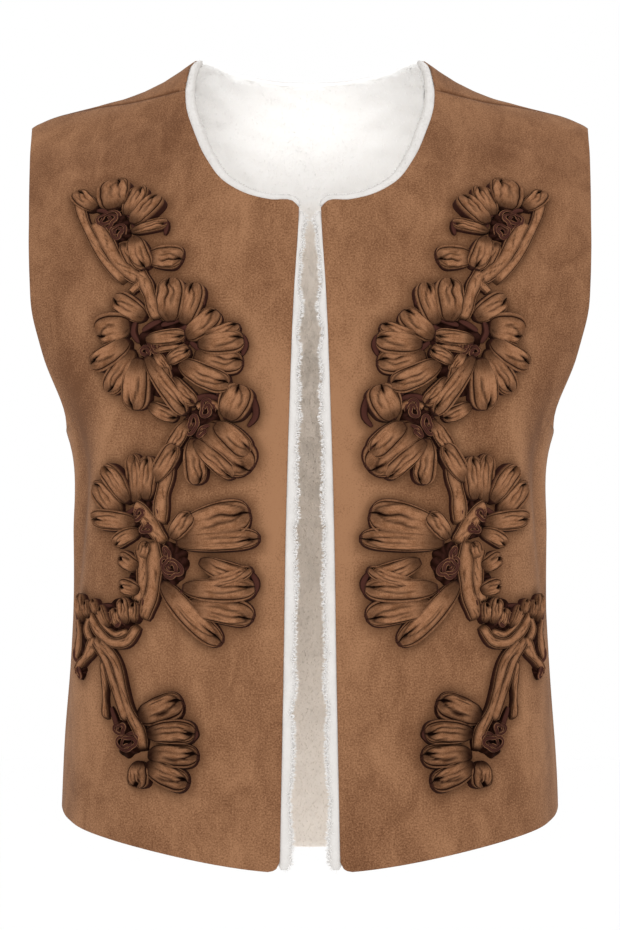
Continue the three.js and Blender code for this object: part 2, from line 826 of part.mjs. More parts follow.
const frontCorner = (row) => row * (SEAM_COLUMNS + 1);
const frontEdgePlaces = Array.from({ length: ROWS + 1 }, (_, row) => frontCorner(row));
const backTop = ROWS * (BACK_COLUMNS + 1);
const backNeckPlaces = Array.from({ length: BACK_NECK_COLUMNS + 1 }, (_, column) => backTop + column);

// The plush shows past the suede: most at the hem of the front edges and round the neck.
function plushEdgeWidth(row) {
  if (row <= NECK_CORNER_ROW) {
    const share = (row / NECK_CORNER_ROW) ** 3;
    return THREE.MathUtils.lerp(PLUSH_EDGE_AT_HEM, PLUSH_EDGE_AT_CORNER, share);
  }
  const share = (row - NECK_CORNER_ROW) / (ROWS - NECK_CORNER_ROW);
  return THREE.MathUtils.lerp(PLUSH_EDGE_AT_CORNER, PLUSH_EDGE_AT_NECK, share);
}

const plushOuter = -(SUEDE + SEAM_GAP);
const plushInner = plushOuter - PLUSH;
const frontPlushNet = addEdge(frontNet, frontEdgePlaces, plushEdgeWidth, 1);
const backPlushNet = mirrorNet(addEdge(halfBackNet, backNeckPlaces, () => PLUSH_EDGE_AT_NECK, -1));

addPair('front', wallGeometry(frontNet, -SUEDE, 0), SUEDE_TAN);
addPiece('back', wallGeometry(backNet, -SUEDE, 0), SUEDE_TAN);
addPair('lining_front', wallGeometry(frontPlushNet, plushInner, plushOuter), PLUSH_WHITE);
addPiece('lining_back', wallGeometry(backPlushNet, plushInner, plushOuter), PLUSH_WHITE);

// Every flower is cut clear of the panel under it and of the flowers that were sewn on before it.
const panelCutter = toSolid(wallGeometry(frontNet, -2 * ROOT, SEAM_GAP));
const sewn = [];
for (const [name, flower] of Object.entries(FLOWERS)) {
  let solid = flowerSolid(flower, 0).subtract(panelCutter);
  for (const before of sewn) solid = solid.subtract(before);
  addPair(`flower_${name}`, toGeometry(solid), RIBBON_TAN);
  sewn.push(flowerSolid(flower, SEAM_GAP));
}

export default vest;
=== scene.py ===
"""The teddy vest's looks: suede outside, plush inside, and ribbon flowers gathered on each front."""

import math

import bpy
import numpy as np
from mathutils.kdtree import KDTree
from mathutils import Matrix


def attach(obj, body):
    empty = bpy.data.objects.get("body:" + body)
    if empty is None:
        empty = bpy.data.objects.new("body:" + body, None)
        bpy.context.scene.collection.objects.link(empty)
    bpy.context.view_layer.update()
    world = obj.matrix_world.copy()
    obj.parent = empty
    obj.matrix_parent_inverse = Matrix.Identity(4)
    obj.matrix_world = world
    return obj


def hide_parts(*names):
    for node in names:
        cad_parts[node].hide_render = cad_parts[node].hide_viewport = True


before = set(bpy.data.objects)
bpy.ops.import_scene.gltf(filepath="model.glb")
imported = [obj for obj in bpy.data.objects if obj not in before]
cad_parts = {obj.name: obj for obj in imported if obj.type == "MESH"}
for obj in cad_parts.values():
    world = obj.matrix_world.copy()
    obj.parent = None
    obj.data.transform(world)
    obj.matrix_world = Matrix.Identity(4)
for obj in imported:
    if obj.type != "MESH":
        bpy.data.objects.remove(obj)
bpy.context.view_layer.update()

# ---- The hang of the cloth ----
# The vest is cut from flat cloth and worn open over a general figure, which rounds it out from
# level sections. Every piece is set out as on the cutting table: u runs out from the centre line,
# and v up the front, over the shoulder and down the back. All measures here are millimetres.

# depth at the centre line, height there, half width, roundness, share of the shoulder's fall
SECTIONS = np.array([
    (-110, -580, 187, 2.35, 0), (-109, -500, 184.6, 2.35, 0), (-108, -400, 179.7, 2.35, 0),
    (-108.5, -310, 177.7, 2.35, 0), (-110, -240, 180, 2.35, 0), (-110.3, -215, 189, 2.35, 0),
    (-110, -190, 205, 2.3, 0), (-109, -165, 215, 2.3, 0.01), (-107, -140, 225.5, 2.3, 0.03),
    (-99, -90, 232, 2.3, 0.14), (-85, -45, 232, 2.3, 0.33), (-66, -5, 232, 2.3, 0.53),
    (-43, 32, 232, 2.3, 0.73), (-20, 66, 232, 2.3, 0.93), (0, 78, 232, 2.3, 1),
    (24, 68, 232, 2.3, 0.95), (48, 44, 232, 2.3, 0.82), (72, 14, 232, 2.3, 0.62),
    (91, -30, 232, 2.3, 0.4), (105, -85, 232, 2.3, 0.2), (112, -140, 225.5, 2.3, 0.05),
    (113, -165, 215, 2.3, 0.02), (113, -190, 205, 2.3, 0), (112.5, -215, 189, 2.35, 0),
    (112, -240, 180, 2.35, 0), (109, -310, 177.7, 2.35, 0), (107, -400, 179.7, 2.35, 0),
    (109, -500, 184.6, 2.35, 0), (110, -580, 187, 2.35, 0),
])
RIDGE = 14
# out from the centre, and how far the shoulder line has fallen there
SHOULDER_LINE = np.array([
    (0, 0), (50, 11), (85, 34.5), (110, 51), (130, 60.5),
    (160, 69.3), (198, 80.4), (206, 84.5), (212, 90), (236, 112),
])
# folds cut into the form: turn, height, lean, depth, spread round, spread down
FORM_FOLDS = [(70, -300, 0.03, 3.2, 5, 75), (83, -400, -0.02, 2.6, 5, 90)]
# soft creases in the cloth itself: turn, height, lean, depth, spread round, spread down
CREASES = [
    (58, -262, 0.10, 2.6, 3.2, 42), (66, -250, 0.06, -1.8, 3.4, 45), (76, -285, 0.05, 2.4, 3.5, 60),
    (50, -330, -0.06, 1.2, 4.0, 60), (88, -330, 0.02, 1.8, 4.5, 80), (62, -455, 0.03, 1.4, 4.5, 55),
    (79, -480, -0.03, 1.6, 4.0, 60), (104, -280, -0.06, 2.4, 4.0, 55), (118, -300, -0.09, 2.0, 4.5, 60),
    (134, -255, -0.12, 1.6, 5.0, 55), (112, -430, 0.04, 1.6, 5.0, 70), (150, -430, 0.02, 1.3, 6.0, 80),
    (164, -200, -0.03, 1.2, 5.0, 70), (58, -30, 0.12, 1.0, 6.0, 28), (70, -120, 0.08, 1.4, 4.5, 35),
    (104, -110, -0.08, 1.6, 4.5, 40), (128, -60, -0.10, 1.3, 6.0, 40),
]


def read_table(knots, values, at):
    """Smooth reading of a table whose rows stand at the given knots."""
    gaps = np.diff(knots)
    rise = np.diff(values) / gaps
    slope = np.concatenate([
        rise[:1], (rise[:-1] * gaps[1:] + rise[1:] * gaps[:-1]) / (gaps[:-1] + gaps[1:]), rise[-1:],
    ])
    k = np.clip(np.searchsorted(knots, at) - 1, 0, len(knots) - 2)
    t = np.clip((at - knots[k]) / gaps[k], -0.2, 1.2)
    t2, t3 = t * t, t * t * t
    return ((2 * t3 - 3 * t2 + 1) * values[k] + (t3 - 2 * t2 + t) * slope[k] * gaps[k]
            + (3 * t2 - 2 * t3) * values[k + 1] + (t3 - t2) * slope[k + 1] * gaps[k])


SECTION_V = np.concatenate([[0], np.cumsum(np.hypot(*np.diff(SECTIONS[:, :2], axis=0).T))])
RIDGE_V, TOP_V = SECTION_V[RIDGE], SECTION_V[-1]


def section_at(v):
    return [read_table(SECTION_V, SECTIONS[:, column], v) for column in range(5)]


def shoulder_fall(x):
    return read_table(SHOULDER_LINE[:, 0], SHOULDER_LINE[:, 1], np.abs(x))


def turn_point(v, turn):
    """The point of the form at each v and each turn round from the centre line, in radians."""
    depth, height, half, roundness, fall = section_at(v)
    sine, cosine = np.abs(np.sin(turn)), np.abs(np.cos(turn))
    reach = (sine ** roundness + cosine ** roundness) ** (-1 / roundness)
    x, y = half * reach * np.sin(turn), depth * reach * np.cos(turn)
    z = height - fall * shoulder_fall(x)
    degrees = np.degrees(np.abs(turn))
    dent = 0
    for middle, at_height, lean, deep, spread, down in FORM_FOLDS:
        here = middle + lean * (at_height - z)
        fade = ((z - at_height) / down) ** 2
        dent = dent + deep * (np.exp(-(((degrees - here) / spread) ** 2) - fade)
                              + np.exp(-(((180 - degrees - here) / spread) ** 2) - fade))
    keep = 1 - dent / np.maximum(np.sqrt(x * x + y * y + 1), 1)
    return np.stack([x * keep, y * keep, z], axis=-1)


# The form is laid out once on a fine chart of u and v, and read off it from then on.
CHART_STEP, TURN_STEPS, CHART_WIDE = 2.0, 48, 330
chart_v = np.arange(0, TOP_V + CHART_STEP, CHART_STEP)
chart_u = np.arange(-CHART_STEP, CHART_WIDE, CHART_STEP)
fan_turns = np.linspace(0, math.pi / 2, TURN_STEPS + 1)
fan = turn_point(chart_v[:, None] + 0 * fan_turns, fan_turns + 0 * chart_v[:, None])
chart_arcs = np.concatenate(
    [np.zeros((len(chart_v), 1)), np.cumsum(np.linalg.norm(np.diff(fan, axis=1), axis=2), axis=1)],
    axis=1)


def turn_on_row(arcs, u):
    """The turn at which a row of the chart has gone u out, straight on past the side."""
    steps = np.interp(u, arcs, np.arange(TURN_STEPS + 1.0))
    past = np.maximum(u - arcs[-1], 0) / (arcs[-1] - arcs[-2])
    return (steps + past + np.minimum(u, 0) / arcs[1]) * (math.pi / 2 / TURN_STEPS)


chart_turns = np.array([turn_on_row(arcs, chart_u) for arcs in chart_arcs])
chart = turn_point(chart_v[:, None] + 0 * chart_turns, chart_turns)
chart_out = np.cross(np.gradient(chart, axis=1), np.gradient(chart, axis=0))
chart_out /= np.linalg.norm(chart_out, axis=2, keepdims=True)


SLACK = 0.32


def drape(points):
    """How far the creases and slacks of the cloth stand out of the form, in millimetres."""
    x, y, z = points[..., 0], points[..., 1], points[..., 2]
    round_turn = np.degrees(np.arctan2(np.abs(x), -y))
    out = np.zeros(x.shape)
    for middle, at_height, lean, deep, spread, down in CREASES:
        here = middle + lean * (at_height - z)
        out -= deep * np.exp(-(((round_turn - here) / spread) ** 2) - ((z - at_height) / down) ** 2)
    slack = (np.sin(x / 31 + 1.3 * np.sin(z / 47)) * np.sin(z / 38 + 0.8 * np.sin(y / 29))
             + 0.6 * np.sin(x / 17 + z / 23 + 1.1) * np.sin(y / 19 - z / 31))
    return out + SLACK * slack


def cloth(u, v, out=0.0):
    """Points of the worn cloth, each moved "out" along the cloth's own face, in millimetres."""
    u, v, out = np.broadcast_arrays(np.asarray(u, float), v, out)
    column = (np.abs(u) - chart_u[0]) / CHART_STEP
    row = v / CHART_STEP
    i = np.clip(row.astype(int), 0, len(chart_v) - 2)
    j = np.clip(column.astype(int), 0, len(chart_u) - 2)
    a, b = (row - i)[..., None], (column - j)[..., None]
    point, face = (
        (1 - a) * ((1 - b) * t[i, j] + b * t[i, j + 1]) + a * ((1 - b) * t[i + 1, j] + b * t[i + 1, j + 1])
        for t in (chart, chart_out))
    face = face / np.linalg.norm(face, axis=-1, keepdims=True)
    mirror = np.stack([np.where(u < 0, -1.0, 1.0), np.ones(u.shape), np.ones(u.shape)], axis=-1)
    point, face = point * mirror, face * mirror
    return point + face * (out + drape(point))[..., None]


# ---- The cut of the panels ----
# Two fronts and a back, joined at the shoulders and down the sides. The shoulder seams run forward
# of the ridge towards the neck, and the hem falls from the sides to the centre.

SEAM_GAP = 0.02
HEM_AT_CENTRE, HEM_RISE_AT_SIDE, SIDE_SEAM_TOP = -552.5, 42, -238
# how much lower the hem hangs between centre and side than an even curve, mostly near the side
HEM_FULLNESS, HEM_FULL_TOWARDS_SIDE = 7.5, 2.2
SEAM_FORWARD_AT_NECK, SEAM_BEND = 41, 1.6
SHOULDER_TIP_X = 207.5
# seen from the front: x and z
FRONT_EDGE = [(21.9, -551), (19, -400), (17.6, -312), (14.7, -211), (11.9, -139), (8.3, -81), (7.9, -72)]
NECK_FRONT = [
    (7.9, -72), (12, -67.4), (28.5, -65.9), (45, -61.8), (62, -52.3),
    (75.5, -34.8), (85, -14), (91.8, 10.2), (92, 22), (89, 38),
]
NECK_BACK = [(75, 43), (58, 37.5), (30, 33.5), (0, 32)]
# seen from the side: y and z
ARMHOLE_FRONT = [
    (-18, -235), (-31.5, -225), (-39, -210), (-45, -196), (-47, -181),
    (-51, -152), (-54.5, -123), (-47, -78), (-29, -40),
]
ARMHOLE_BACK = [
    (20, -235), (34.5, -224), (42, -208), (49.5, -190), (54, -165), (60, -132), (58, -90), (41, -45),
]


def arcs_at(v):
    points = turn_point(np.full(TURN_STEPS + 1, v), fan_turns)
    steps = np.linalg.norm(np.diff(points, axis=0), axis=1)
    return np.concatenate([[0], np.cumsum(steps)])


def other_share(roundness, share):
    return (1 - min(share, 1) ** roundness) ** (1 / roundness)


HALVINGS = 36


def measure(z, x=None, y=None, on_back=False):
    """Where on the cloth (u, v) a point seen from the front (x, z) or the side (y, z) lies."""
    low, high = (TOP_V if on_back else 0.0), RIDGE_V
    for _ in range(HALVINGS):
        middle = (low + high) / 2
        depth, height, half, roundness, fall = section_at(middle)
        share = min(x / half, 1) if y is None else other_share(roundness, y / depth)
        if height - fall * shoulder_fall(share * half) < z:
            low = middle
        else:
            high = middle
    turn = math.atan2(share, other_share(roundness, share))
    return np.array([np.interp(turn, fan_turns, arcs_at(middle)), middle])


def smooth_line(places):
    """A smooth line through places on the cloth, read from 0 to 1."""
    places = np.array(places, float)
    knots = np.concatenate([[0], np.cumsum(np.linalg.norm(np.diff(places, axis=0), axis=1))])

    def line(share):
        at = np.atleast_1d(share) * knots[-1]
        return np.stack([read_table(knots, places[:, 0], at), read_table(knots, places[:, 1], at)], -1)

    return line


def each(place_at):
    return lambda shares: np.array([place_at(share) for share in np.atleast_1d(shares)])


def hem_line(on_back):
    def place(share):
        z = (HEM_AT_CENTRE + HEM_RISE_AT_SIDE * (1 - math.cos(math.pi * share)) / 2
             - HEM_FULLNESS * math.sin(math.pi * share ** HEM_FULL_TOWARDS_SIDE))
        v = measure(z, x=0, on_back=on_back)[1]
        return share * arcs_at(v)[-1], v

    return each(place)


def side_line(on_back):
    def place(share):
        bottom = HEM_AT_CENTRE + HEM_RISE_AT_SIDE
        v = measure(bottom + (SIDE_SEAM_TOP - bottom) * share, x=0, on_back=on_back)[1]
        return arcs_at(v)[-1] - SEAM_GAP / 2, v

    return each(place)


ridge_height = SECTIONS[RIDGE, 1]
tip_u = measure(ridge_height - shoulder_fall(SHOULDER_TIP_X), x=SHOULDER_TIP_X)[0]
neck_line = smooth_line([measure(z, x=x) for x, z in NECK_FRONT]
                        + [measure(z, x=x, on_back=True) for x, z in NECK_BACK])


def neck_share_at(v):
    """How far along the neckline, from 0 at the front to 1 at the back, it passes a height v."""
    shares = np.linspace(0, 1, 4001)
    return float(np.interp(v, neck_line(shares)[:, 1], shares))


def seam_neck(side):
    return neck_share_at(RIDGE_V - SEAM_FORWARD_AT_NECK + side * SEAM_GAP / 2)


def seam_line(side):
    """The shoulder seam: side -1 is the front's edge of it, 1 the back's."""
    neck_u = neck_line(seam_neck(side))[0, 0]

    def place(share):
        forward = SEAM_FORWARD_AT_NECK * (1 - share) ** SEAM_BEND
        return neck_u + (tip_u - neck_u) * share, RIDGE_V - forward + side * SEAM_GAP / 2

    return each(place)


def armhole_line(table, on_back):
    return smooth_line([side_line(on_back)(1)[0]]
                       + [measure(z, y=y, on_back=on_back) for y, z in table]
                       + [seam_line(1 if on_back else -1)(1)[0]])


front_edge_line = smooth_line([measure(z, x=x) for x, z in FRONT_EDGE])


def join_lines(first, second, corner):
    """Two lines read as one, the first of them up to the share "corner"."""
    def line(shares):
        shares = np.atleast_1d(shares)
        before = first(np.minimum(shares / corner, 1))
        after = second(np.maximum((shares - corner) / (1 - corner), 0))
        return np.where((shares <= corner)[:, None], before, after)

    return line


def part_of(line, start, end):
    return lambda shares: line(start + (end - start) * np.atleast_1d(shares))


def fill_field(across, up, bottom, top, left, right):
    """A grid of places (rows, columns, uv) between four lines."""
    low, high, near, far = bottom(across), top(across), left(up), right(up)
    a, b = across[None, :, None], up[:, None, None]
    rows = (1 - b) * low[None] + b * high[None]
    columns = (1 - a) * near[:, None] + a * far[:, None]
    corners = ((1 - a) * ((1 - b) * low[0] + b * high[0]) + a * ((1 - b) * low[-1] + b * high[-1]))
    return rows + columns - corners


def spaced(count, rim):
    """Even steps from 0 to 1 with a narrow one at each end for the turned edge."""
    return np.concatenate([[0, rim], np.linspace(0, 1, count + 1)[1:-1], [1 - rim, 1]])


# how far up its side a panel has its neck corner, its underarm and, across its top, its back neck corner
NECK_CORNER, UNDERARM, BACK_NECK_CORNER = 9 / 16, 7 / 16, 1 / 3
ROWS, FRONT_COLUMNS, BACK_COLUMNS = 112, 52, 60
# the narrow steps at the turned edges: up a panel, across a front, across half the back
RIM_UP, RIM_ACROSS_FRONT, RIM_ACROSS_BACK = 0.0014, 0.004, 0.003
HEM_CORNER_RADIUS = 9

up_steps = spaced(ROWS, RIM_UP)
front_hem = hem_line(False)
front_hem_wide = arcs_at(front_hem(0)[0, 1])[-1]
front_grid = fill_field(
    spaced(FRONT_COLUMNS, RIM_ACROSS_FRONT), up_steps,
    part_of(front_hem, front_edge_line(0)[0, 0] / front_hem_wide, 1), seam_line(-1),
    join_lines(front_edge_line, part_of(neck_line, 0, seam_neck(-1)), NECK_CORNER),
    join_lines(side_line(False), armhole_line(ARMHOLE_FRONT, False), UNDERARM))

# The front's lower corner is rounded: the square of cloth in it is drawn in to a quarter circle.
corner_u, corner_v = front_grid[0, 0]
corner_middle = (corner_u + HEM_CORNER_RADIUS, corner_v + HEM_CORNER_RADIUS)
aside = (front_grid - corner_middle) / HEM_CORNER_RADIUS
in_corner = (aside[..., 0] < 0) & (aside[..., 1] < 0)
draw_in = np.max(np.abs(aside), axis=-1) / np.maximum(np.linalg.norm(aside, axis=-1), 1e-6)
front_grid = np.where(
    in_corner[..., None], corner_middle + aside * HEM_CORNER_RADIUS * draw_in[..., None], front_grid)

back_top_line = join_lines(part_of(neck_line, 1, seam_neck(1)), seam_line(1), BACK_NECK_CORNER)
back_hem_v, back_neck_v = hem_line(True)(0)[0, 1], neck_line(1)[0, 1]
half_back_grid = fill_field(
    np.concatenate([np.linspace(0, 1, BACK_COLUMNS + 1)[:-1], [1 - RIM_ACROSS_BACK, 1]]), up_steps,
    hem_line(True), back_top_line,
    each(lambda share: (0, back_hem_v + (back_neck_v - back_hem_v) * share)),
    join_lines(side_line(True), armhole_line(ARMHOLE_BACK, True), UNDERARM))
back_grid = np.concatenate([half_back_grid[:, :0:-1] * (-1, 1), half_back_grid], axis=1)

# ---- The suede panels ----
# The outside of the vest is soft brushed suede cloth about 1.5 mm thick, cut as two fronts and a
# back and sewn together with the edges turned in. Its nap has been stroked this way and that,
# which leaves darker and lighter clouds over a fine grain.

MM_PER_METRE = 1000


def set_mark(mesh, key, values):
    """Marks every point of a piece with a value that its finish or its pile reads."""
    attribute = mesh.attributes.new(key, "FLOAT", "POINT")
    attribute.data.foreach_set("value", np.asarray(values, np.float32))


def cloth_mesh(name, places, outs, faces, uvs=None, marks=None):
    """A mesh of places on the cloth, in metres, with its flat cut as UV map and marks on points."""
    points = cloth(places[:, 0], places[:, 1], outs) / MM_PER_METRE
    mesh = bpy.data.meshes.new(name)
    mesh.from_pydata(points.tolist(), [], faces)
    flat = (places if uvs is None else uvs) / MM_PER_METRE
    corner_points = np.empty(len(mesh.loops), int)
    mesh.loops.foreach_get("vertex_index", corner_points)
    layer = mesh.uv_layers.new(name="flat cut")
    layer.data.foreach_set("uv", flat[corner_points].astype(np.float32).ravel())
    for key, values in (marks or {}).items():
        set_mark(mesh, key, values)
    mesh.polygons.foreach_set("use_smooth", np.ones(len(mesh.polygons), bool))
    mesh.update()
    piece = bpy.data.objects.new(name, mesh)
    bpy.context.scene.collection.objects.link(piece)
    return piece


def shell(name, grid, outer, inner, turned, under=0.0, marks=None):
    """A closed sheet of cloth over a grid, with its edges rounded by "turned" millimetres."""
    rows, columns = grid.shape[:2]
    rim = np.zeros((rows, columns), bool)
    rim[[0, -1], :] = True
    rim[:, [0, -1]] = True
    top = np.where(rim, outer - turned, outer)
    below = np.where(rim, inner + turned, inner + under)
    count = rows * columns
    index = np.arange(count).reshape(rows, columns)
    a, b, c, d = index[:-1, :-1], index[:-1, 1:], index[1:, 1:], index[1:, :-1]
    across, along = grid[0, 1] - grid[0, 0], grid[1, 0] - grid[0, 0]
    mirrored = across[0] * along[1] - across[1] * along[0] < 0
    if mirrored:
        b, d = d, b
    quads = np.stack([a, b, c, d], axis=-1).reshape(-1, 4)
    ring = np.concatenate([index[0, :-1], index[:-1, -1], index[-1, :0:-1], index[:0:-1, 0]])
    after = np.roll(ring, -1)
    walls = np.stack([ring, ring + count, after + count, after], axis=-1)
    if mirrored:
        walls = walls[:, ::-1]
    faces = np.concatenate([quads, quads[:, ::-1] + count, walls]).tolist()
    places = np.concatenate([grid.reshape(-1, 2)] * 2)
    outs = np.concatenate([top.ravel(), below.ravel()])
    kept = {"inside": np.concatenate([np.zeros(count), (~rim).astype(float).ravel()])}
    for key, values in (marks or {}).items():
        kept[key] = np.concatenate([values.ravel()] * 2)
    return cloth_mesh(name, places, outs, faces, marks=kept)


def other_side(grid):
    return grid * (-1, 1)


class Socket:
    """One output of a shader node, which can be reckoned with like a number."""

    def __init__(self, tree, source):
        self.tree, self.source = tree, source

    def node(self, kind, settings, inputs, output=0):
        """Adds a node of a kind with its settings and inputs, and gives one of its outputs."""
        new = self.tree.nodes.new(kind)
        for key, value in settings.items():
            if key == "stops":
                stops = new.color_ramp.elements
                while len(stops) < len(value):
                    stops.new(1)
                for stop, (at, colour) in zip(stops, value):
                    stop.position, stop.color = at, colour
            else:
                setattr(new, key, value)
        for key, value in inputs.items():
            if isinstance(value, Socket):
                self.tree.links.new(value.source, new.inputs[key])
            else:
                new.inputs[key].default_value = value
        return Socket(self.tree, new.outputs[output])

    def reckon(self, operation, *terms):
        return self.node("ShaderNodeMath", {"operation": operation}, dict(enumerate(terms)))

    def __add__(self, other):
        return self.reckon("ADD", self, other)

    __radd__ = __add__

    def __sub__(self, other):
        return self.reckon("SUBTRACT", self, other)

    def __rsub__(self, other):
        return self.reckon("SUBTRACT", other, self)

    def __mul__(self, other):
        return self.reckon("MULTIPLY", self, other)

    __rmul__ = __mul__

    def spread(self, low=0.0, high=1.0):
        """Stretches the values between low and high over 0 to 1, and holds them there."""
        return self.node("ShaderNodeMapRange", {}, {
            "Value": self, "From Min": low, "From Max": high, "To Min": 0.0, "To Max": 1.0})

    def mix(self, share, first, second):
        return self.node("ShaderNodeMix", {"data_type": "RGBA"}, {0: share, 6: first, 7: second}, output=2)

    def noise(self, where, scale, detail=2.0, rough=0.5, twist=0.0):
        return self.node("ShaderNodeTexNoise", {}, {
            "Vector": where, "Scale": scale, "Detail": detail, "Roughness": rough, "Distortion": twist})

    def flat_cut(self):
        """The place on the flat cut of the cloth, in metres."""
        return self.node("ShaderNodeUVMap", {"uv_map": "flat cut"}, {})

    def place(self):
        """The place on the piece itself, in metres."""
        return self.node("ShaderNodeTexCoord", {}, {}, output="Object")

    def laid(self, where, scale, turn=(0, 0, 0)):
        """A place stretched and turned, for a pattern that runs one way."""
        return self.node("ShaderNodeMapping", {}, {"Vector": where, "Scale": scale, "Rotation": turn})

    def mark(self, name):
        return self.node("ShaderNodeAttribute", {"attribute_name": name}, {}, output="Fac")

    def bump(self, height, strength, distance):
        return self.node("ShaderNodeBump", {}, {
            "Height": height, "Strength": strength, "Distance": distance})


def new_finish(name, **numbers):
    """A material with its plain numbers set, and the sockets to paint it with."""
    material = bpy.data.materials.new(name)
    material.use_nodes = True
    tree = material.node_tree
    surface = tree.nodes["Principled BSDF"]
    for key, value in numbers.items():
        surface.inputs[key.replace("_", " ")].default_value = value
    return material, surface, Socket(tree, None)


def join_up(paint, surface, **links):
    for key, socket in links.items():
        paint.tree.links.new(socket.source, surface.inputs[key.replace("_", " ")])


# Besides the nap's clouds, the suede's colour carries painted light and shade: on its creases, at its seams
# and round the ribbon work.
SUEDE_THICK, SUEDE_TURN = 1.5, 0.55
SUEDE_DARK, SUEDE_MID = (0.125, 0.052, 0.023, 1), (0.216, 0.101, 0.049, 1)
SUEDE_LIGHT, SUEDE_FLOWER_SHADOW = (0.315, 0.158, 0.080, 1), (0.085, 0.034, 0.014, 1)

suede, surface, paint = new_finish(
    "brushed suede", Sheen_Weight=0.07, Sheen_Roughness=0.5, Sheen_Tint=(1.0, 0.86, 0.72, 1),
    Specular_IOR_Level=0.06)
flat = paint.flat_cut()
stroked = paint.laid(flat, (1.0, 0.55, 1.0), turn=(0, 0, 0.3))
clouds = paint.noise(stroked, 13, 4, 0.62, 0.6)
patches = paint.noise(stroked, 42, 5, 0.66, 0.8)
streaks = paint.noise(paint.laid(flat, (1.0, 0.3, 1.0)), 240, 3, 0.6, 0.3)
grain = paint.noise(flat, 800, 3, 0.7)
# painted shade along the seams, and the painted light and shade of the creases with the patches, shift the
# nap's tone
seam = paint.mark("seam")
nap_and_painted_light = (clouds * 2.6 + patches * 3.4 + streaks * 0.8 + grain * 7.0 + paint.mark("hang") * 0.62
       - seam * seam * seam * 1.6).spread(5.45, 8.1)
tone = paint.node("ShaderNodeValToRGB", {"stops": [
    (0.0, SUEDE_DARK), (0.5, SUEDE_MID), (1.0, SUEDE_LIGHT)]}, {"Fac": nap_and_painted_light})
# close round the ribbon work the suede is mixed towards a painted shadow colour
join_up(paint, surface,
        Base_Color=paint.mix(paint.mark("pressed") * (0.36 + 0.3 * nap_and_painted_light), tone, SUEDE_FLOWER_SHADOW),
        Roughness=0.86 + nap_and_painted_light * 0.1,
        Normal=paint.bump(grain * 0.8 + streaks * 0.5 + patches * 0.8, 0.4, 0.0006))


def area_of(grid):
    """The flat area of a grid of places, in square metres."""
    across = grid[1:, 1:] - grid[:-1, :-1]
    along = grid[1:, :-1] - grid[:-1, 1:]
    twice = np.abs(across[..., 0] * along[..., 1] - across[..., 1] * along[..., 0]).sum()
    return float(twice / 2 / MM_PER_METRE ** 2)


def cut_of(grid):
    """The flat width and length that a panel is cut from, in metres."""
    return tuple(float(side) / MM_PER_METRE for side in np.ptp(grid.reshape(-1, 2), axis=0))


def lay_sheet(piece, node, grid, material):
    """Gives a panel its material, hangs it on the root, hides the model part it stands for, and reckons its
    flat cut.
    """
    piece.data.materials.append(material)
    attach(piece, "root")
    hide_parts(node)
    width, length = cut_of(grid)
    min(area_of(grid), width * length)


# lighter and darker patches of the nap: u, v, spread out, spread up, lift; the light ones near the front
# edges and the dark ones beside the armhole are painted light and shade
NAP_PATCHES = [
    (29, 345, 26, 66, 1.8), (32, 235, 28, 60, 0.9), (24, 300, 12, 80, 1.3), (26, 440, 22, 22, 0.35),
    (50, 458, 34, 30, -0.3), (178, 384, 20, 26, -2.1), (182, 338, 16, 30, -1.7), (205, 300, 14, 50, 1.0),
    (168, 122, 30, 55, 0.45), (150, 600, 90, 45, -0.75), (34, 62, 40, 26, -0.6), (80, 150, 26, 40, -0.5),
    (196, 430, 20, 50, -0.4),
]
# painted light and shade of the creases: the nap's tone is lighter on their ridges and darker in their
# troughs
PAINTED_LIGHT_ON_RIDGES = 0.5


def suede_panel(name, node, grid, seams):
    """A panel of suede, marked with painted light on the ridges of its creases, painted shade in their
    troughs, lighter and darker patches, and painted shade where it goes into a seam.
    """
    u, v = np.abs(grid[..., 0]), grid[..., 1]
    nap_and_painted_light = PAINTED_LIGHT_ON_RIDGES * drape(cloth(grid[..., 0], v))
    for at_u, at_v, out, up, lift in NAP_PATCHES:
        nap_and_painted_light = nap_and_painted_light + lift * np.exp(-(((u - at_u) / out) ** 2) - ((v - at_v) / up) ** 2)
    tucked = np.zeros(u.shape)
    for rows, columns in seams:
        tucked[rows, columns] = 1
    piece = shell(name, grid, 0, -SUEDE_THICK, SUEDE_TURN, marks={"hang": nap_and_painted_light, "seam": tucked})
    lay_sheet(piece, node, grid, suede)


# the rows and columns of each panel that are tucked into its shoulder and side seams, where the nap gets
# painted seam shade
side_rows, first_two, last_two = slice(0, int(ROWS * UNDERARM)), slice(0, 2), slice(-2, None)
shoulder = BACK_COLUMNS * 2 // 3
front_seams = [(last_two, slice(None)), (side_rows, last_two)]
back_seams = [(last_two, slice(0, shoulder)), (last_two, slice(-shoulder, None)),
              (side_rows, first_two), (side_rows, last_two)]
suede_panel("suede_front_left", "front_left", front_grid, front_seams)
suede_panel("suede_front_right", "front_right", other_side(front_grid), front_seams)
suede_panel("suede_back", "back", back_grid, back_seams)

# ---- The plush lining ----
# White teddy pile on a knitted back, cut like the suede panels and sewn in behind them. The pile is
# short tufts about 2 mm long, brushed nearly flat one way, with soft swellings underneath.

# Lower down inside the vest the pile's colour carries painted shade.
PLUSH_FACE, PLUSH_BACK, PLUSH_TURN, TUFT_LONG = -1.8, -4.6, 1.0, 2.1
PILE_WHITE, PILE_SHADE = (0.97, 0.965, 0.955, 1), (0.955, 0.945, 0.93, 1)
PILE_LOWER_SHADE, PILE_HOLLOW_SHADE = (0.85, 0.775, 0.70, 1), (0.60, 0.54, 0.475, 1)

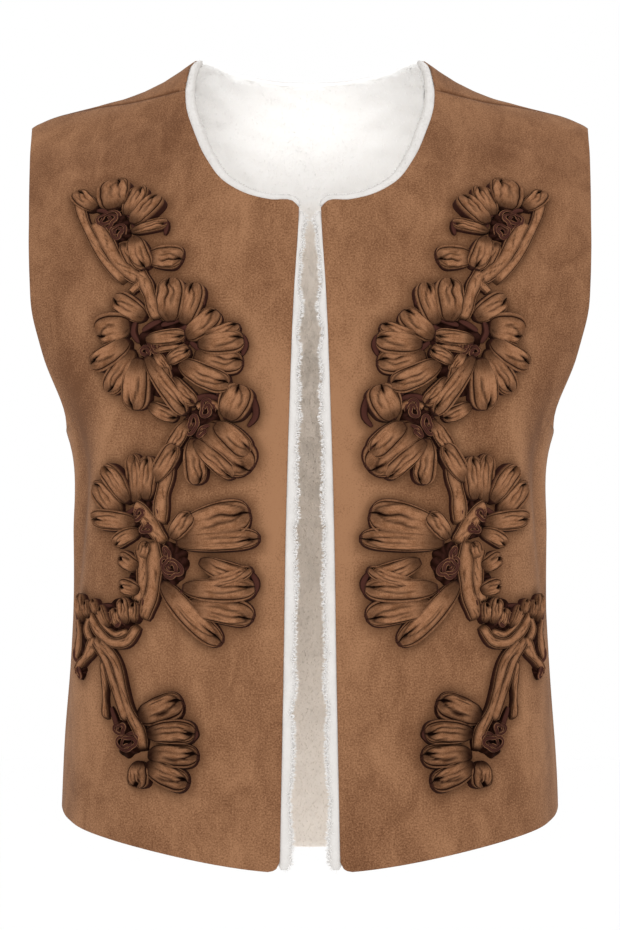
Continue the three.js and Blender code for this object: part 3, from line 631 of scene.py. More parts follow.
pile_finish, surface, paint = new_finish(
    "plush pile", Roughness=0.95, Sheen_Weight=0.4, Sheen_Roughness=0.6, Specular_IOR_Level=0.1)
place = paint.place()
clumps = paint.noise(place, 150, 3, 0.6, 0.4)
wisps = paint.noise(place, 900, 2, 0.6)
height = paint.node("ShaderNodeSeparateXYZ", {}, {"Vector": place}, output="Z")
white = paint.mix((clumps * 0.8 + wisps * 0.4).spread(0.35, 0.75), PILE_SHADE, PILE_WHITE)
# lower down inside the vest the pile is painted a darker cream, as shade
shade_and_wear = paint.mix((height * -1.0).spread(0.055, 0.08), white, PILE_LOWER_SHADE)
# below the chest the pile has been stroked apart into locks, and the hollows between them are painted darker
# as shade
brushed = paint.laid(place, (2.2, 1, 1), turn=(0, 0.5, 0))
locks = paint.noise(place, 48, 3, 0.6, 0.8) * 0.55 + paint.noise(brushed, 120, 4, 0.65, 0.5) * 0.45
below_chest = (height * -14.0 - 0.9).spread()
upper_part = ((height + 0.46) * 2.6).spread()
hollow_shade = ((locks - 0.5) * 8.0 + 0.42).spread() * below_chest * (upper_part * 0.74 + 0.13)
join_up(paint, surface,
        Base_Color=paint.mix(hollow_shade, shade_and_wear, PILE_HOLLOW_SHADE),
        Normal=paint.bump(clumps * 0.8 + wisps * 0.5, 0.3, 0.001))


SWELLINGS, SWELLING_HIGH = 26, 0.16
SHORTEST_SWELLING, LONGEST_SWELLING = 9, 26


def clumped(grid, seed):
    """Small uneven swellings of the pile over a grid, in millimetres."""
    rng = np.random.default_rng(seed)
    u, v = grid[..., 0], grid[..., 1]
    out = np.zeros(u.shape)
    for _ in range(SWELLINGS):
        aim, wave = rng.uniform(0, math.pi), rng.uniform(SHORTEST_SWELLING, LONGEST_SWELLING)
        out += np.sin((u * math.cos(aim) + v * math.sin(aim)) * 2 * math.pi / wave + rng.uniform(0, 6.3))
    return -SWELLING_HIGH * out


def tuft_mesh():
    """Three curled blades of pile from one root, one unit tall."""
    points, faces = [], []
    for k, (aim, lean, curl) in enumerate([(0.3, 0.35, 0.5), (2.4, 0.5, -0.4), (4.5, 0.25, 0.7)]):
        along = np.array([math.cos(aim), math.sin(aim)])
        across = np.array([-along[1], along[0]])
        for height, half in ((0.0, 0.075), (0.55, 0.07)):
            middle = along * lean * height ** 1.3 + across * curl * height ** 2 * 0.4
            for sign in (-1, 1):
                points.append((*(middle + across * half * sign), height))
        tip = along * lean + across * curl * 0.5
        points.append((*tip, 0.92))
        start = 5 * k
        faces += [(start, start + 1, start + 3, start + 2), (start + 2, start + 3, start + 4)]
    mesh = bpy.data.meshes.new("tuft")
    mesh.from_pydata(points, [], faces)
    tuft = bpy.data.objects.new("tuft", mesh)
    bpy.context.scene.collection.objects.link(tuft)
    return tuft


def pile_tree(tuft, material):
    """Scatters tufts over the faces with a "pile" mark, each leaning between two limits."""
    tree = bpy.data.node_groups.new("pile", "GeometryNodeTree")
    interface = tree.interface
    interface.new_socket("Geometry", in_out="INPUT", socket_type="NodeSocketGeometry")
    for name, kind in (("Tufts per square metre", "NodeSocketFloat"), ("Tuft length", "NodeSocketFloat"),
                       ("Least lean", "NodeSocketVector"), ("Most lean", "NodeSocketVector"),
                       ("Seed", "NodeSocketInt")):
        interface.new_socket(name, in_out="INPUT", socket_type=kind)
    interface.new_socket("Geometry", in_out="OUTPUT", socket_type="NodeSocketGeometry")
    add, link = tree.nodes.new, tree.links.new
    given, result = add("NodeGroupInput"), add("NodeGroupOutput")
    mark = add("GeometryNodeInputNamedAttribute")
    mark.data_type = "FLOAT"
    mark.inputs["Name"].default_value = "pile"
    density = add("ShaderNodeMath")
    density.operation = "MULTIPLY"
    link(mark.outputs["Attribute"], density.inputs[0])
    link(given.outputs["Tufts per square metre"], density.inputs[1])
    scatter = add("GeometryNodeDistributePointsOnFaces")
    link(given.outputs["Geometry"], scatter.inputs["Mesh"])
    link(density.outputs[0], scatter.inputs["Density"])
    link(given.outputs["Seed"], scatter.inputs["Seed"])
    lean = add("FunctionNodeRandomValue")
    lean.data_type = "FLOAT_VECTOR"
    link(given.outputs["Least lean"], lean.inputs["Min"])
    link(given.outputs["Most lean"], lean.inputs["Max"])
    link(given.outputs["Seed"], lean.inputs["Seed"])
    turn = add("FunctionNodeEulerToRotation")
    link(lean.outputs["Value"], turn.inputs[0])
    tilt = add("FunctionNodeRotateRotation")
    tilt.rotation_space = "LOCAL"
    link(scatter.outputs["Rotation"], tilt.inputs["Rotation"])
    link(turn.outputs[0], tilt.inputs["Rotate By"])
    size = add("FunctionNodeRandomValue")
    size.data_type = "FLOAT"
    size.inputs[2].default_value, size.inputs[3].default_value = 0.65, 1.15
    length = add("ShaderNodeMath")
    length.operation = "MULTIPLY"
    link(size.outputs[1], length.inputs[0])
    link(given.outputs["Tuft length"], length.inputs[1])
    source = add("GeometryNodeObjectInfo")
    source.inputs["Object"].default_value = tuft
    place = add("GeometryNodeInstanceOnPoints")
    link(scatter.outputs["Points"], place.inputs["Points"])
    link(source.outputs["Geometry"], place.inputs["Instance"])
    link(tilt.outputs[0], place.inputs["Rotation"])
    link(length.outputs[0], place.inputs["Scale"])
    realize, finish = add("GeometryNodeRealizeInstances"), add("GeometryNodeSetMaterial")
    finish.inputs["Material"].default_value = material
    link(place.outputs["Instances"], realize.inputs["Geometry"])
    link(realize.outputs[0], finish.inputs["Geometry"])
    link(finish.outputs[0], result.inputs["Geometry"])
    return tree


tuft = tuft_mesh()
plush_tree = pile_tree(tuft, pile_finish)
# the least and the most lean of a tuft, in radians
BRUSHED = ((1.34, -0.14, -0.4), (1.52, 0.14, 0.4))
CURLED = ((-0.8, -0.8, -3.14), (0.8, 0.8, 3.14))


def grow_pile(name, ground, tree, per_metre, long_mm, lean, seed):
    """A piece of pile growing from the marked faces of the ground piece."""
    modifier = ground.modifiers.new("pile", "NODES")
    modifier.node_group = tree
    inputs = {item.name: item.identifier for item in tree.interface.items_tree if item.in_out == "INPUT"}
    for key, value in (("Tufts per square metre", float(per_metre)), ("Tuft length", long_mm / MM_PER_METRE),
                       ("Least lean", lean[0]), ("Most lean", lean[1]), ("Seed", seed)):
        modifier[inputs[key]] = value
    bpy.context.view_layer.update()
    grown = ground.evaluated_get(bpy.context.evaluated_depsgraph_get())
    mesh = bpy.data.meshes.new_from_object(grown)
    ground.modifiers.remove(modifier)
    mesh.name = name
    pile = bpy.data.objects.new(name, mesh)
    bpy.context.scene.collection.objects.link(pile)
    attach(pile, "root")
    return pile


def lining(name, node, grid, per_metre, seed, weight):
    """A panel of lining: its knitted back with the pile on its inner face."""
    piece = shell(name, grid, PLUSH_FACE, PLUSH_BACK, PLUSH_TURN, under=clumped(grid, seed))
    inside = np.empty(len(piece.data.vertices))
    piece.data.attributes["inside"].data.foreach_get("value", inside)
    points = np.empty(len(piece.data.vertices) * 3)
    piece.data.vertices.foreach_get("co", points)
    set_mark(piece.data, "pile", inside * weight(points.reshape(-1, 3)))
    pile = grow_pile(f"{name}_pile", piece, plush_tree, per_metre, TUFT_LONG, BRUSHED, seed)
    lay_sheet(piece, node, grid, pile_finish)


def even_weight(points):
    return np.ones(len(points))


def seen_weight(points):
    """The pile of the back is thickest where the neck and the open front show it."""
    near_neck = np.exp(-((np.hypot(points[:, 0], points[:, 2] + 0.02) / 0.13) ** 2))
    near_gap = np.exp(-((points[:, 0] / 0.035) ** 2))
    return 0.5 + np.maximum(0.8 * near_neck, 2.4 * near_gap)


TUFTS_ON_FRONT, TUFTS_ON_BACK = 52000, 50000
for side, grid, seed in (("left", front_grid, 3), ("right", other_side(front_grid), 4)):
    lining(f"plush_front_{side}", f"lining_front_{side}", grid, TUFTS_ON_FRONT, seed, even_weight)
lining("plush_back", "lining_back", back_grid, TUFTS_ON_BACK, 5, seen_weight)

# ---- The white edges ----
# The lining is rolled out past the suede as a white border: a narrow edge down each front, wider
# towards the hem and fluffy where it meets the opening, and a smooth band of short pile beside
# the neck. They are part of the lining, held by the seam that joins it to the suede.

# corners round a roll, rows that round off each of its ends, and how far it goes under the suede
ROLL_CORNERS, ROLL_END_ROWS, ROLL_UNDER = 18, 3, 2.2
ALL_ROUND = -1.0


def roll(name, line_places, sideways, wide, out_middle, thick, pile_from=ALL_ROUND):
    """A closed roll along places on the cloth, "wide" to the given side of them and rounded off.

    Its pile grows all round, or only where the cosine of the turn from that side passes pile_from.
    """
    tangent = np.gradient(line_places, axis=0)
    tangent /= np.linalg.norm(tangent, axis=1, keepdims=True)
    across = np.stack([tangent[:, 1], -tangent[:, 0]], axis=-1) * sideways
    shape = (len(line_places), ROLL_CORNERS)
    turns = np.linspace(0, 2 * math.pi, ROLL_CORNERS, endpoint=False)
    round_off = np.ones(len(line_places))
    for k in range(ROLL_END_ROWS):
        from_row = (ROLL_END_ROWS - k) / (ROLL_END_ROWS + 0.35)
        round_off[k] = round_off[-1 - k] = math.sqrt(1 - from_row ** 2)
    half = (wide + ROLL_UNDER) / 2
    middle = (wide / 2 - ROLL_UNDER / 2)[:, None]
    aside = middle + np.cos(turns)[None] * half[:, None] * round_off[:, None]
    outs = out_middle + np.sin(turns)[None] * thick / 2 * round_off[:, None]
    places = line_places[:, None] + across[:, None] * aside[..., None]
    index = np.arange(places[..., 0].size).reshape(shape)
    after = np.roll(index, -1, axis=1)
    quads = np.stack([index[:-1], after[:-1], after[1:], index[1:]], axis=-1).reshape(-1, 4)
    caps = [index[0][::-1].tolist(), index[-1].tolist()]
    if sideways > 0:
        quads, caps = quads[:, ::-1], [cap[::-1] for cap in caps]
    pile = np.clip((np.cos(turns) - pile_from) / 0.2, 0, 1)
    # painted shade along the inner side of rolls with pile all round, as the shadow beside the neck band
    under = np.clip((np.cos(turns) - 0.5) / 0.4, 0, 1) * (pile_from == ALL_ROUND)
    return cloth_mesh(name, places.reshape(-1, 2), outs.ravel(), quads.tolist() + caps, marks={
        "pile": np.broadcast_to(pile, shape).ravel(),
        "turned under": np.broadcast_to(under, shape).ravel()})


ROLL_WHITE, ROLL_SHADE = (0.69, 0.665, 0.64, 1), (0.60, 0.575, 0.55, 1)
ROLL_INNER_SHADE = (0.42, 0.39, 0.36, 1)
FLUFF_WHITE, FLUFF_SHADE = (0.93, 0.915, 0.90, 1), (0.84, 0.82, 0.80, 1)


roll_finish, surface, paint = new_finish(
    "plush roll", Roughness=0.92, Sheen_Weight=0.4, Sheen_Roughness=0.6, Specular_IOR_Level=0.12)
place = paint.place()
nub = paint.noise(place, 620, 3, 0.65)
swell = paint.noise(place, 90, 2, 0.5)
short = paint.mix((nub * 0.6 + swell * 0.5).spread(0.3, 0.75), ROLL_SHADE, ROLL_WHITE)
# the neck band's inner rim is painted greyer, as shade
join_up(paint, surface,
        Base_Color=paint.mix(paint.mark("turned under") * 0.5, short, ROLL_INNER_SHADE),
        Normal=paint.bump(nub * 0.8 + swell * 0.4, 0.5, 0.0008))
roll_tree = pile_tree(tuft, roll_finish)

fluff_finish, surface, paint = new_finish(
    "plush edge", Roughness=0.95, Sheen_Weight=0.3, Sheen_Roughness=0.6, Specular_IOR_Level=0.1)
place = paint.place()
wisps = paint.noise(place, 700, 3, 0.6)
join_up(paint, surface,
        Base_Color=paint.mix(wisps.spread(0.35, 0.65), FLUFF_SHADE, FLUFF_WHITE),
        Normal=paint.bump(wisps, 0.3, 0.0008))
fluff_tree = pile_tree(tuft, fluff_finish)


def finish_roll(piece, finish, tree, per_metre, long_mm, seed):
    piece.data.materials.append(finish)
    grow_pile(f"{piece.name}_pile", piece, tree, per_metre, long_mm, CURLED, seed)
    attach(piece, "root")


EDGE_WIDE_HEM, EDGE_WIDE_TOP, EDGE_UNEVEN = 8.0, 2.6, 1.9
EDGE_ROWS, SMOOTHED_OVER, SPARE_ROWS = 150, 4, 10
CLEAR_OF_END = 0.004
shares = np.linspace(CLEAR_OF_END, 1 - CLEAR_OF_END, EDGE_ROWS)
edge_places = front_edge_line(shares)
rng = np.random.default_rng(11)
uneven = rng.normal(0, 1, EDGE_ROWS + 2 * SPARE_ROWS)
wander = np.convolve(uneven, np.ones(SMOOTHED_OVER) / SMOOTHED_OVER, "same")[SPARE_ROWS:-SPARE_ROWS]
edge_wide = EDGE_WIDE_HEM + (EDGE_WIDE_TOP - EDGE_WIDE_HEM) * shares ** 3 + EDGE_UNEVEN * wander
for side, turn, seed in (("left", 1, 21), ("right", -1, 22)):
    edge = roll(f"white_edge_{side}", edge_places * (turn, 1), -turn, edge_wide, -4.0, 6.2, pile_from=0.6)
    finish_roll(edge, roll_finish, fluff_tree, 650000, 3.0, seed)

# The neck band is widest beside the neck and ends at the top of the shoulder. Behind it, the lining
# of the back just ends in its own soft fluff.
BAND_WIDE_CORNER, BAND_WIDE_SIDE, WIDENS_OVER = 4.0, 7.4, 0.55
BAND_ROWS, HALF_NECK_ROWS = 90, 60
band_top = neck_share_at(RIDGE_V)
shares = np.linspace(CLEAR_OF_END, band_top, BAND_ROWS)
widened = np.clip(shares / band_top / WIDENS_OVER, 0, 1) ** 0.8
band_wide = BAND_WIDE_CORNER + (BAND_WIDE_SIDE - BAND_WIDE_CORNER) * widened
for side, turn, seed in (("left", 1, 31), ("right", -1, 32)):
    band = roll(f"neck_band_{side}", neck_line(shares) * (turn, 1), -turn, band_wide, -3.0, 5.2)
    finish_roll(band, roll_finish, roll_tree, 330000, 1.0, seed)
half_neck = neck_line(np.linspace(band_top, 1, HALF_NECK_ROWS))
back_neck = np.concatenate([half_neck, (half_neck * (-1, 1))[-2::-1]])
fluff = roll("neck_fluff", back_neck, -1, np.ones(len(back_neck)), -2.8, 3.4)
finish_roll(fluff, pile_finish, plush_tree, 700000, 1.0, 33)
bpy.data.objects.remove(tuft)

# ---- The ribbon flowers ----
# Narrow suede ribbon gathered and sewn down by hand: each petal is a loop of ribbon puffed into two
# cheeks, with a furrow, a smaller loop inside it and a dark hollow at its tip. Stems are the same
# ribbon laid flat or on edge, and the flower hearts are ribbon coiled on edge.

# The folds, hollows and sides of the ribbon work, and the low domes under each flower, are painted darker as
# shade.
RIBBON_HIGH = 6.0
RIBBON_LIGHT, RIBBON_WARM = (0.335, 0.160, 0.081, 1), (0.185, 0.080, 0.036, 1)
RIBBON_SHADE, RIBBON_SIDE_AND_SHADE = (0.010, 0.0025, 0.001, 1), (0.064, 0.022, 0.016, 1)

# middle (u, v); then, all from that middle, ground: (u, v, radius) of the gathers below, painted dark as the
# shade between the petals; edges: ribbon on edge, wide, then its path; ribbons: wide, then the path; coils:
# (u, v, radius); petals: from (u, v), aim in degrees, long, wide. Tighter work also has folds, the fine
# pleats on each of its petals, and shade, how much more painted shade all its ribbon takes.
FLOWERS = {
    "top": dict(
        middle=(147, 510),
        ground=[(-2, 1, 15)],
        edges=[
            (5, [(-42, -14), (-43, -7), (-41, 2)]),
            (5, [(-13, 10), (-19, 3), (-18, -5)]),
            (4.5, [(11, 18), (5, 16), (0, 11)])],
        ribbons=[
            (7.5, [(25, 34), (21, 12), (12, -13), (2, -34), (-13, -53)]),
            (12, [(12, 6), (2, -16), (-7, -34), (-18, -46), (-25, -52)])],
        coils=[(1, 5, 9), (-7, -8, 7.5)],
        petals=[
            (-29, -33, -177, 25, 16), (-11, -19, -113, 20, 8), (-20, -14, -105, 28, 13),
            (-17, -8, 168, 26, 9), (11, 19, 52, 26, 12), (-18, -1, 129, 29, 14), (-13, 9, 108, 29, 13),
            (-2, 17, 89, 32, 20)]),
    "big": dict(
        middle=(105, 405),
        ground=[(-1, 5, 20), (0, -11, 18), (4, -25, 10)],
        edges=[
            (5.5, [(21, 23), (23, 14), (19, 5)]),
            (5, [(17, 14), (9, 19), (2, 22)]),
            (5.5, [(3, 18), (-6, 21), (-16, 25)]),
            (5, [(-6, 14), (-14, 15), (-21, 21)]),
            (5, [(-18, 6), (-25, 1), (-31, -5)]),
            (4.5, [(-57, 11), (-59, 3), (-56, -5)]),
            (4.5, [(-37, -34), (-44, -29), (-48, -23)]),
            (4, [(-23, 48), (-28, 40), (-29, 32)])],
        ribbons=[
            (10, [(19, 62), (13, 48), (9, 36), (5, 23)]),
            (6, [(25, 44), (20, 49), (14, 53)])],
        coils=[(6, 4, 6), (13, -1, 5)],
        petals=[
            (12, -39, -155, 22, 9), (-6, -20, -130, 24, 9), (-12, -9, -153, 37, 14),
            (-22, -4, -170, 33, 15), (-27, 9, 165, 27, 9), (-25, 4, 176, 31, 14), (-16, 9, 142, 28, 14),
            (-14, 19, 108, 30, 14), (-5, 21, 91, 31, 17), (14, 24, 36, 27, 14), (25, 19, -9, 25, 19),
            (26, 7, -32, 32, 13), (25, 1, -60, 34, 14), (18, -6, -83, 35, 17), (13, 8, 174, 27, 9),
            (11, 1, 167, 25, 9), (-2, -9, 148, 18, 9), (13, -5, -125, 47, 11), (6, -1, -121, 17, 7),
            (0, -10, -96, 18, 9)]),
    "mid": dict(
        middle=(77, 351),
        ground=[(0, 0, 14), (-2, -9, 9)],
        edges=[
            (5.5, [(12, 11), (5, 18), (-6, 20), (-16, 16)]),
            (5.5, [(-31, 25), (-37, 16), (-38, 6), (-32, -2)]),
            (5, [(-14, 15), (-17, 9), (-16, 3)]),
            (4.5, [(-35, -11), (-31, -23), (-23, -30)])],
        ribbons=[
            (4, [(5, 12), (-2, 16), (-9, 15), (-13, 11)])],
        coils=[(7, 1, 7), (-3, 11, 6.5), (0, -5, 4.5)],
        petals=[
            (10, 3, -55, 24, 9), (7, -10, -95, 31, 13), (5, -11, -136, 36, 11), (-2, 0, -135, 43, 22),
            (-9, 0, -140, 30, 14), (-18, 4, 112, 25, 19)]),
    "shell": dict(
        middle=(122, 289),
        ground=[(1, -1, 11), (-4, -13, 9)],
        edges=[
            (4, [(-6, 8), (-11, 2), (-14, -7)]),
            (4, [(18, -4), (11, -1), (6, 3)])],
        ribbons=[
            (10.5, [(-21, 42), (-18, 26), (-14, 9), (-13, -10)]),
            (9, [(9, 5), (-1, -2), (-9, -12), (-15, -23)]),
            (6, [(6, 0), (-2, -10), (-12, -22)])],
        coils=[(3, -2, 5.5), (-3, -13, 5)],
        petals=[
            (4, -15, -22, 22, 9), (6, -8, 3, 37, 12), (-7, 22, 127, 30, 12), (21, -4, 45, 31, 14),
            (-2, 8, 94, 30, 12), (13, 6, 55, 31, 12), (8, 6, 88, 33, 13)]),
    "fan": dict(
        middle=(100, 256),
        ground=[(0, 0, 11), (-15, -28, 8)],
        edges=[
            (5, [(-57, -10), (-62, -19), (-59, -29)]),
            (5, [(-21, -7), (-30, -10), (-37, -15)]),
            (4.5, [(-50, -7), (-54, -11), (-52, -17)]),
            (4.5, [(-9, -23), (-6, -30), (-9, -38)])],
        ribbons=[],
        coils=[(0, -8, 9.5), (4, 3, 4.5)],
        petals=[
            (8, -19, -134, 58, 14), (-21, -3, -160, 36, 12), (-24, -19, 165, 34, 9), (-3, 15, 162, 53, 22),
            (-4, 10, 176, 56, 13), (-9, -22, -178, 49, 14), (-9, -36, -174, 48, 16), (0, 13, 129, 22, 12)]),
    "berries": dict(
        middle=(122, 232), folds=5, shade=0.06,
        ground=[(4, 8, 10), (21, -21, 15)],
        edges=[
            (4.5, [(45, -16), (36, -13), (26, -12)]),
            (4, [(5, -15), (1, -9), (3, -3)])],
        ribbons=[
            (9, [(3, 31), (1, 20), (1, 4), (5, -10)]),
            (12, [(-6, 36), (-8, 21), (-7, 3), (1, -22)]),
            (7.5, [(51, -15), (39, -31), (26, -39), (14, -38), (4, -26)]),
            (4.5, [(44, -14), (33, -26), (23, -33), (12, -30)])],
        coils=[(30, -21, 5), (20, -24, 4.5)],
        petals=[
            (4, 16, 25, 17, 11), (3, -2, 20, 16, 10), (27, -28, 62, 17, 6), (20, -28, 71, 14, 7),
            (14, -25, 84, 18, 9), (6, -24, 90, 14, 6), (1, 21, 101, 13, 9), (39, -19, 63, 12, 6)]),
    "leaf": dict(
        middle=(181, 197), folds=5, shade=0.10,
        ground=[(0, 0, 13)],
        edges=[
            (4.5, [(15, 26), (7, 19), (9, 10)]),
            (4, [(6, -5), (9, -14), (2, -21)]),
            (4, [(-9, 26), (-12, 19), (-9, 13)])],
        ribbons=[
            (7, [(7, 13), (3, 3), (4, -8), (7, -18)]),
            (6.5, [(-15, 0), (-10, -9), (-3, -18), (5, -25)]),
            (6.5, [(-16, -8), (-8, -15), (1, -21), (7, -28)]),
            (6, [(-10, 15), (-7, 6), (-12, -3)])],
        coils=[(1, -26, 4.5)],
        petals=[
            (-1, 10, 80, 20, 10), (-10, 13, 78, 13, 6)]),
    "low": dict(
        middle=(132, 123), folds=6, shade=0.17,
        ground=[(1, -2, 11), (21, 56, 8)],
        edges=[
            (4.5, [(-39, 28), (-39, 22), (-35, 18)]),
            (4.5, [(-48, 10), (-50, 5), (-47, 0)]),
            (4, [(18, 24), (13, 13), (10, 2)])],
        ribbons=[
            (4.5, [(26, 57), (23, 41), (23, 27), (22, 14)]),
            (7.5, [(35, 74), (24, 61), (16, 43), (9, 26), (3, 13)]),
            (8.5, [(31, 72), (15, 59), (7, 36), (1, 20), (-8, 5), (-10, -8)])],
        coils=[(2, -2, 8.5), (8, 8, 5.5)],
        petals=[
            (-6, 16, 160, 34, 17), (-13, -17, -155, 32, 14), (-14, 5, 176, 34, 14),
            (-14, -10, -179, 35, 14), (-8, -15, -86, 18, 13)]),
}


def ease(low, high, at):
    t = np.clip((at - low) / (high - low), 0, 1)
    return t * t * (3 - 2 * t)


def hump(at, middle, spread):
    return np.exp(-(((at - middle) / spread) ** 2))


# rows along a petal, close together at its root and tip, from just before it to just past it
QUARTER = 1.57
PETAL_ROWS = np.concatenate([
    [-0.01], 0.2 * (1 - np.cos(np.linspace(0, QUARTER, 6))), np.linspace(0.26, 0.74, 12),
    1 - 0.2 * (1 - np.sin(np.linspace(0, QUARTER, 9))), [1.01]])
# half the columns across a petal, a flat ribbon, ribbon on edge and a coil, where 1 is the rim
HALF_PETAL = np.array([
    0.05, 0.11, 0.18, 0.27, 0.37, 0.47, 0.57, 0.66, 0.73, 0.78, 0.83, 0.88, 0.93, 0.98, 1.03, 1.1])
HALF_RIBBON = np.array([0.15, 0.32, 0.5, 0.66, 0.76, 0.82, 0.88, 0.94, 1.0, 1.06, 1.14])
HALF_WALL = np.array([0.3, 0.6, 0.85, 1.0, 1.15])
HALF_FOLD = np.array([0.2, 0.42, 0.58, 0.72, 0.86, 1.0, 1.25])
HALF_FOLD_WIDE, COIL_LOOSE = 1.6, 1.15
# how far the foot of a ribbon goes into the cloth, and how high the gathers under a flower stand
FOOT, GATHERS_HIGH = -1.2, 2.4
# of any three petals sewn on one after another, the later ones lie over their neighbours
PETAL_LAP, LAPS = 1.1, 3
USUAL_FOLDS = 2


# how far apart the strips of ribbon lie on the flat cut, so that no two have the same grain
STRIPS_APART = 97


def both_ways(half):
    return np.concatenate([-half[::-1], [0], half])


class RibbonWork:
    """Ribbon laid on the cloth, gathered strip by strip into one mesh."""

    def __init__(self, seed):
        self.rng = np.random.default_rng(seed)
        self.places, self.outs, self.faces = [], [], []
        self.dark, self.edge, self.lie, self.count = [], [], [], 0

    def phase(self):
        """Where a wave starts, anywhere in its round."""
        return self.rng.uniform(0, 6)

    def sheet_of(self, places, outs, dark, edge, along, across):
        """Adds a relief given on rows and columns: dark is painted shade in its folds, edge its darker cut
        side, which also stands for the shade on its sides.
        """
        rows, columns = outs.shape
        index = np.arange(rows * columns).reshape(rows, columns) + self.count
        quads = np.stack([index[:-1, :-1], index[1:, :-1], index[1:, 1:], index[:-1, 1:]], axis=-1)
        self.faces += quads.reshape(-1, 4).tolist()
        self.places.append(places.reshape(-1, 2))
        self.outs.append(outs.ravel())
        self.dark.append(np.clip(dark + 0 * outs, 0, 1).ravel())
        self.edge.append(np.clip(edge + 0 * outs, 0, 1).ravel())
        along = along + STRIPS_APART * len(self.lie)
        self.lie.append(np.stack([(along + 0 * outs).ravel(), (across + 0 * outs).ravel()], -1))
        self.count += rows * columns

    def strip(self, centre, aim, half, across, outs, dark, edge, lean=0.0):
        """A relief along a centre line, whose foot leans down and aside."""
        sideways = np.stack([-np.sin(aim), np.cos(aim)], axis=-1)
        places = centre[:, None] + sideways[:, None] * (across * half[:, None])[..., None]
        places = places + np.array([-lean, -0.7 * lean]) * (outs < 0)[..., None]
        run = np.concatenate([[0], np.cumsum(np.linalg.norm(np.diff(centre, axis=0), axis=1))])
        self.sheet_of(places, outs, dark, edge, run[:, None], across * half[:, None])

    def along(self, path, per_mm, least):
        """Shares, middle line and aim of a ribbon that runs smoothly through a path, row by row."""
        count = int(least + per_mm * sum(math.dist(p, q) for p, q in zip(path, path[1:])))
        share = np.linspace(0, 1, count)
        centre = smooth_line(path)(share)
        flow = np.gradient(centre, axis=0)
        return share, centre, np.arctan2(flow[:, 1], flow[:, 0])

    def ground(self, u, v, radius, high):
        """A low gathered dome underneath a flower, closing the gaps between its petals, painted dark as the
        shade in those gaps.
        """
        ring, spoke = np.meshgrid(np.linspace(0.03, 1, 9), np.linspace(0, 2 * math.pi, 49), indexing="ij")
        reach = radius * (1 + 0.10 * np.sin(3 * spoke + radius) + 0.05 * np.sin(7 * spoke))
        places = np.stack([u + ring * reach * np.cos(spoke), v + ring * reach * np.sin(spoke)], -1)
        gathers = np.sin(9 * spoke + 4 * ring + radius) * ring
        outs = np.where(ring > 0.98, FOOT, high * (np.sqrt(1 - 0.8 * ring ** 2) + 0.22 * gathers))
        self.sheet_of(places, outs, 0.74 - 0.22 * gathers, np.ones(ring.shape),
                      ring * radius, spoke * radius)

    def petal(self, u, v, aim, long, wide, folds, lift, high=RIBBON_HIGH):
        """A loop of ribbon puffed into two cheeks, with a furrow, an inner loop and a hollow tip."""
        rng, s = self.rng, PETAL_ROWS
        t = both_ways(HALF_PETAL)[None] * np.ones((len(s), 1))
        a, down = np.abs(t), s[:, None]
        # the loop bends a little as it lies, and narrows to its sewn root
        angle = math.radians(aim) + rng.uniform(-0.42, 0.42) * (s - 0.4)
        step = np.gradient(s) * long * 1.08
        centre = np.stack([u + np.cumsum(np.cos(angle) * step), v + np.cumsum(np.sin(angle) * step)], -1)
        tucked_in = 0.03 * long * np.array([math.cos(angle[0]), math.sin(angle[0])])
        centre -= (centre[0] - (u, v)) + tucked_in
        root = np.sqrt(np.clip(1 - (1 - np.clip((s + 0.01) / 0.25, 0, 1)) ** 2.4, 0.01, 1))
        tip = np.sqrt(np.clip(1 - np.clip((s - 0.62) / 0.395, 0, 1) ** 3.0, 0.01, 1))
        half = wide / 2 * 1.26 * (0.76 + 0.24 * ease(0, 0.55, s)) * root * tip
        # the furrow wanders between the cheeks and is open towards the tip
        bold = rng.uniform(0.1, 0.8)
        wander = rng.uniform(0.10, 0.45) * rng.choice([-1, 1])
        slow_wave = np.sin(2 * math.pi * (s * rng.uniform(0.7, 1.5) + rng.uniform(0, 1)))
        wander = wander + (0.05 + 0.09 * bold) * slow_wave
        wander += 0.07 * bold * np.sin(2 * math.pi * s * 3.3 + self.phase())
        across = t + wander[:, None] * (1 - np.clip(a, 0, 1) ** 1.5)
        starts = rng.uniform(-0.1, 0.35)
        opened = bold * ease(starts, starts + 0.25, down) * (0.75 + 0.25 * np.sin(9 * down + self.phase()))
        near_tip = ease(0.62, 0.82, down)
        opened = np.maximum(opened, near_tip)
        cut = hump(a, 0, 0.07 + 0.02 * near_tip) * opened
        # one hollow at the tip, and on some petals a fainter one at the root
        aside_mm = a * wide / 2
        hollow = (0.7 + 0.1 * folds) * hump((down - 0.88) * long, 0, 1.9) * hump(aside_mm, 0, 1.3)
        rooted = hump((down - 0.12) * long, 0, 1.6) * hump(aside_mm, 0, 1.2)
        hollow = np.maximum(hollow, rng.uniform(-0.6, 1) * 0.6 * rooted)
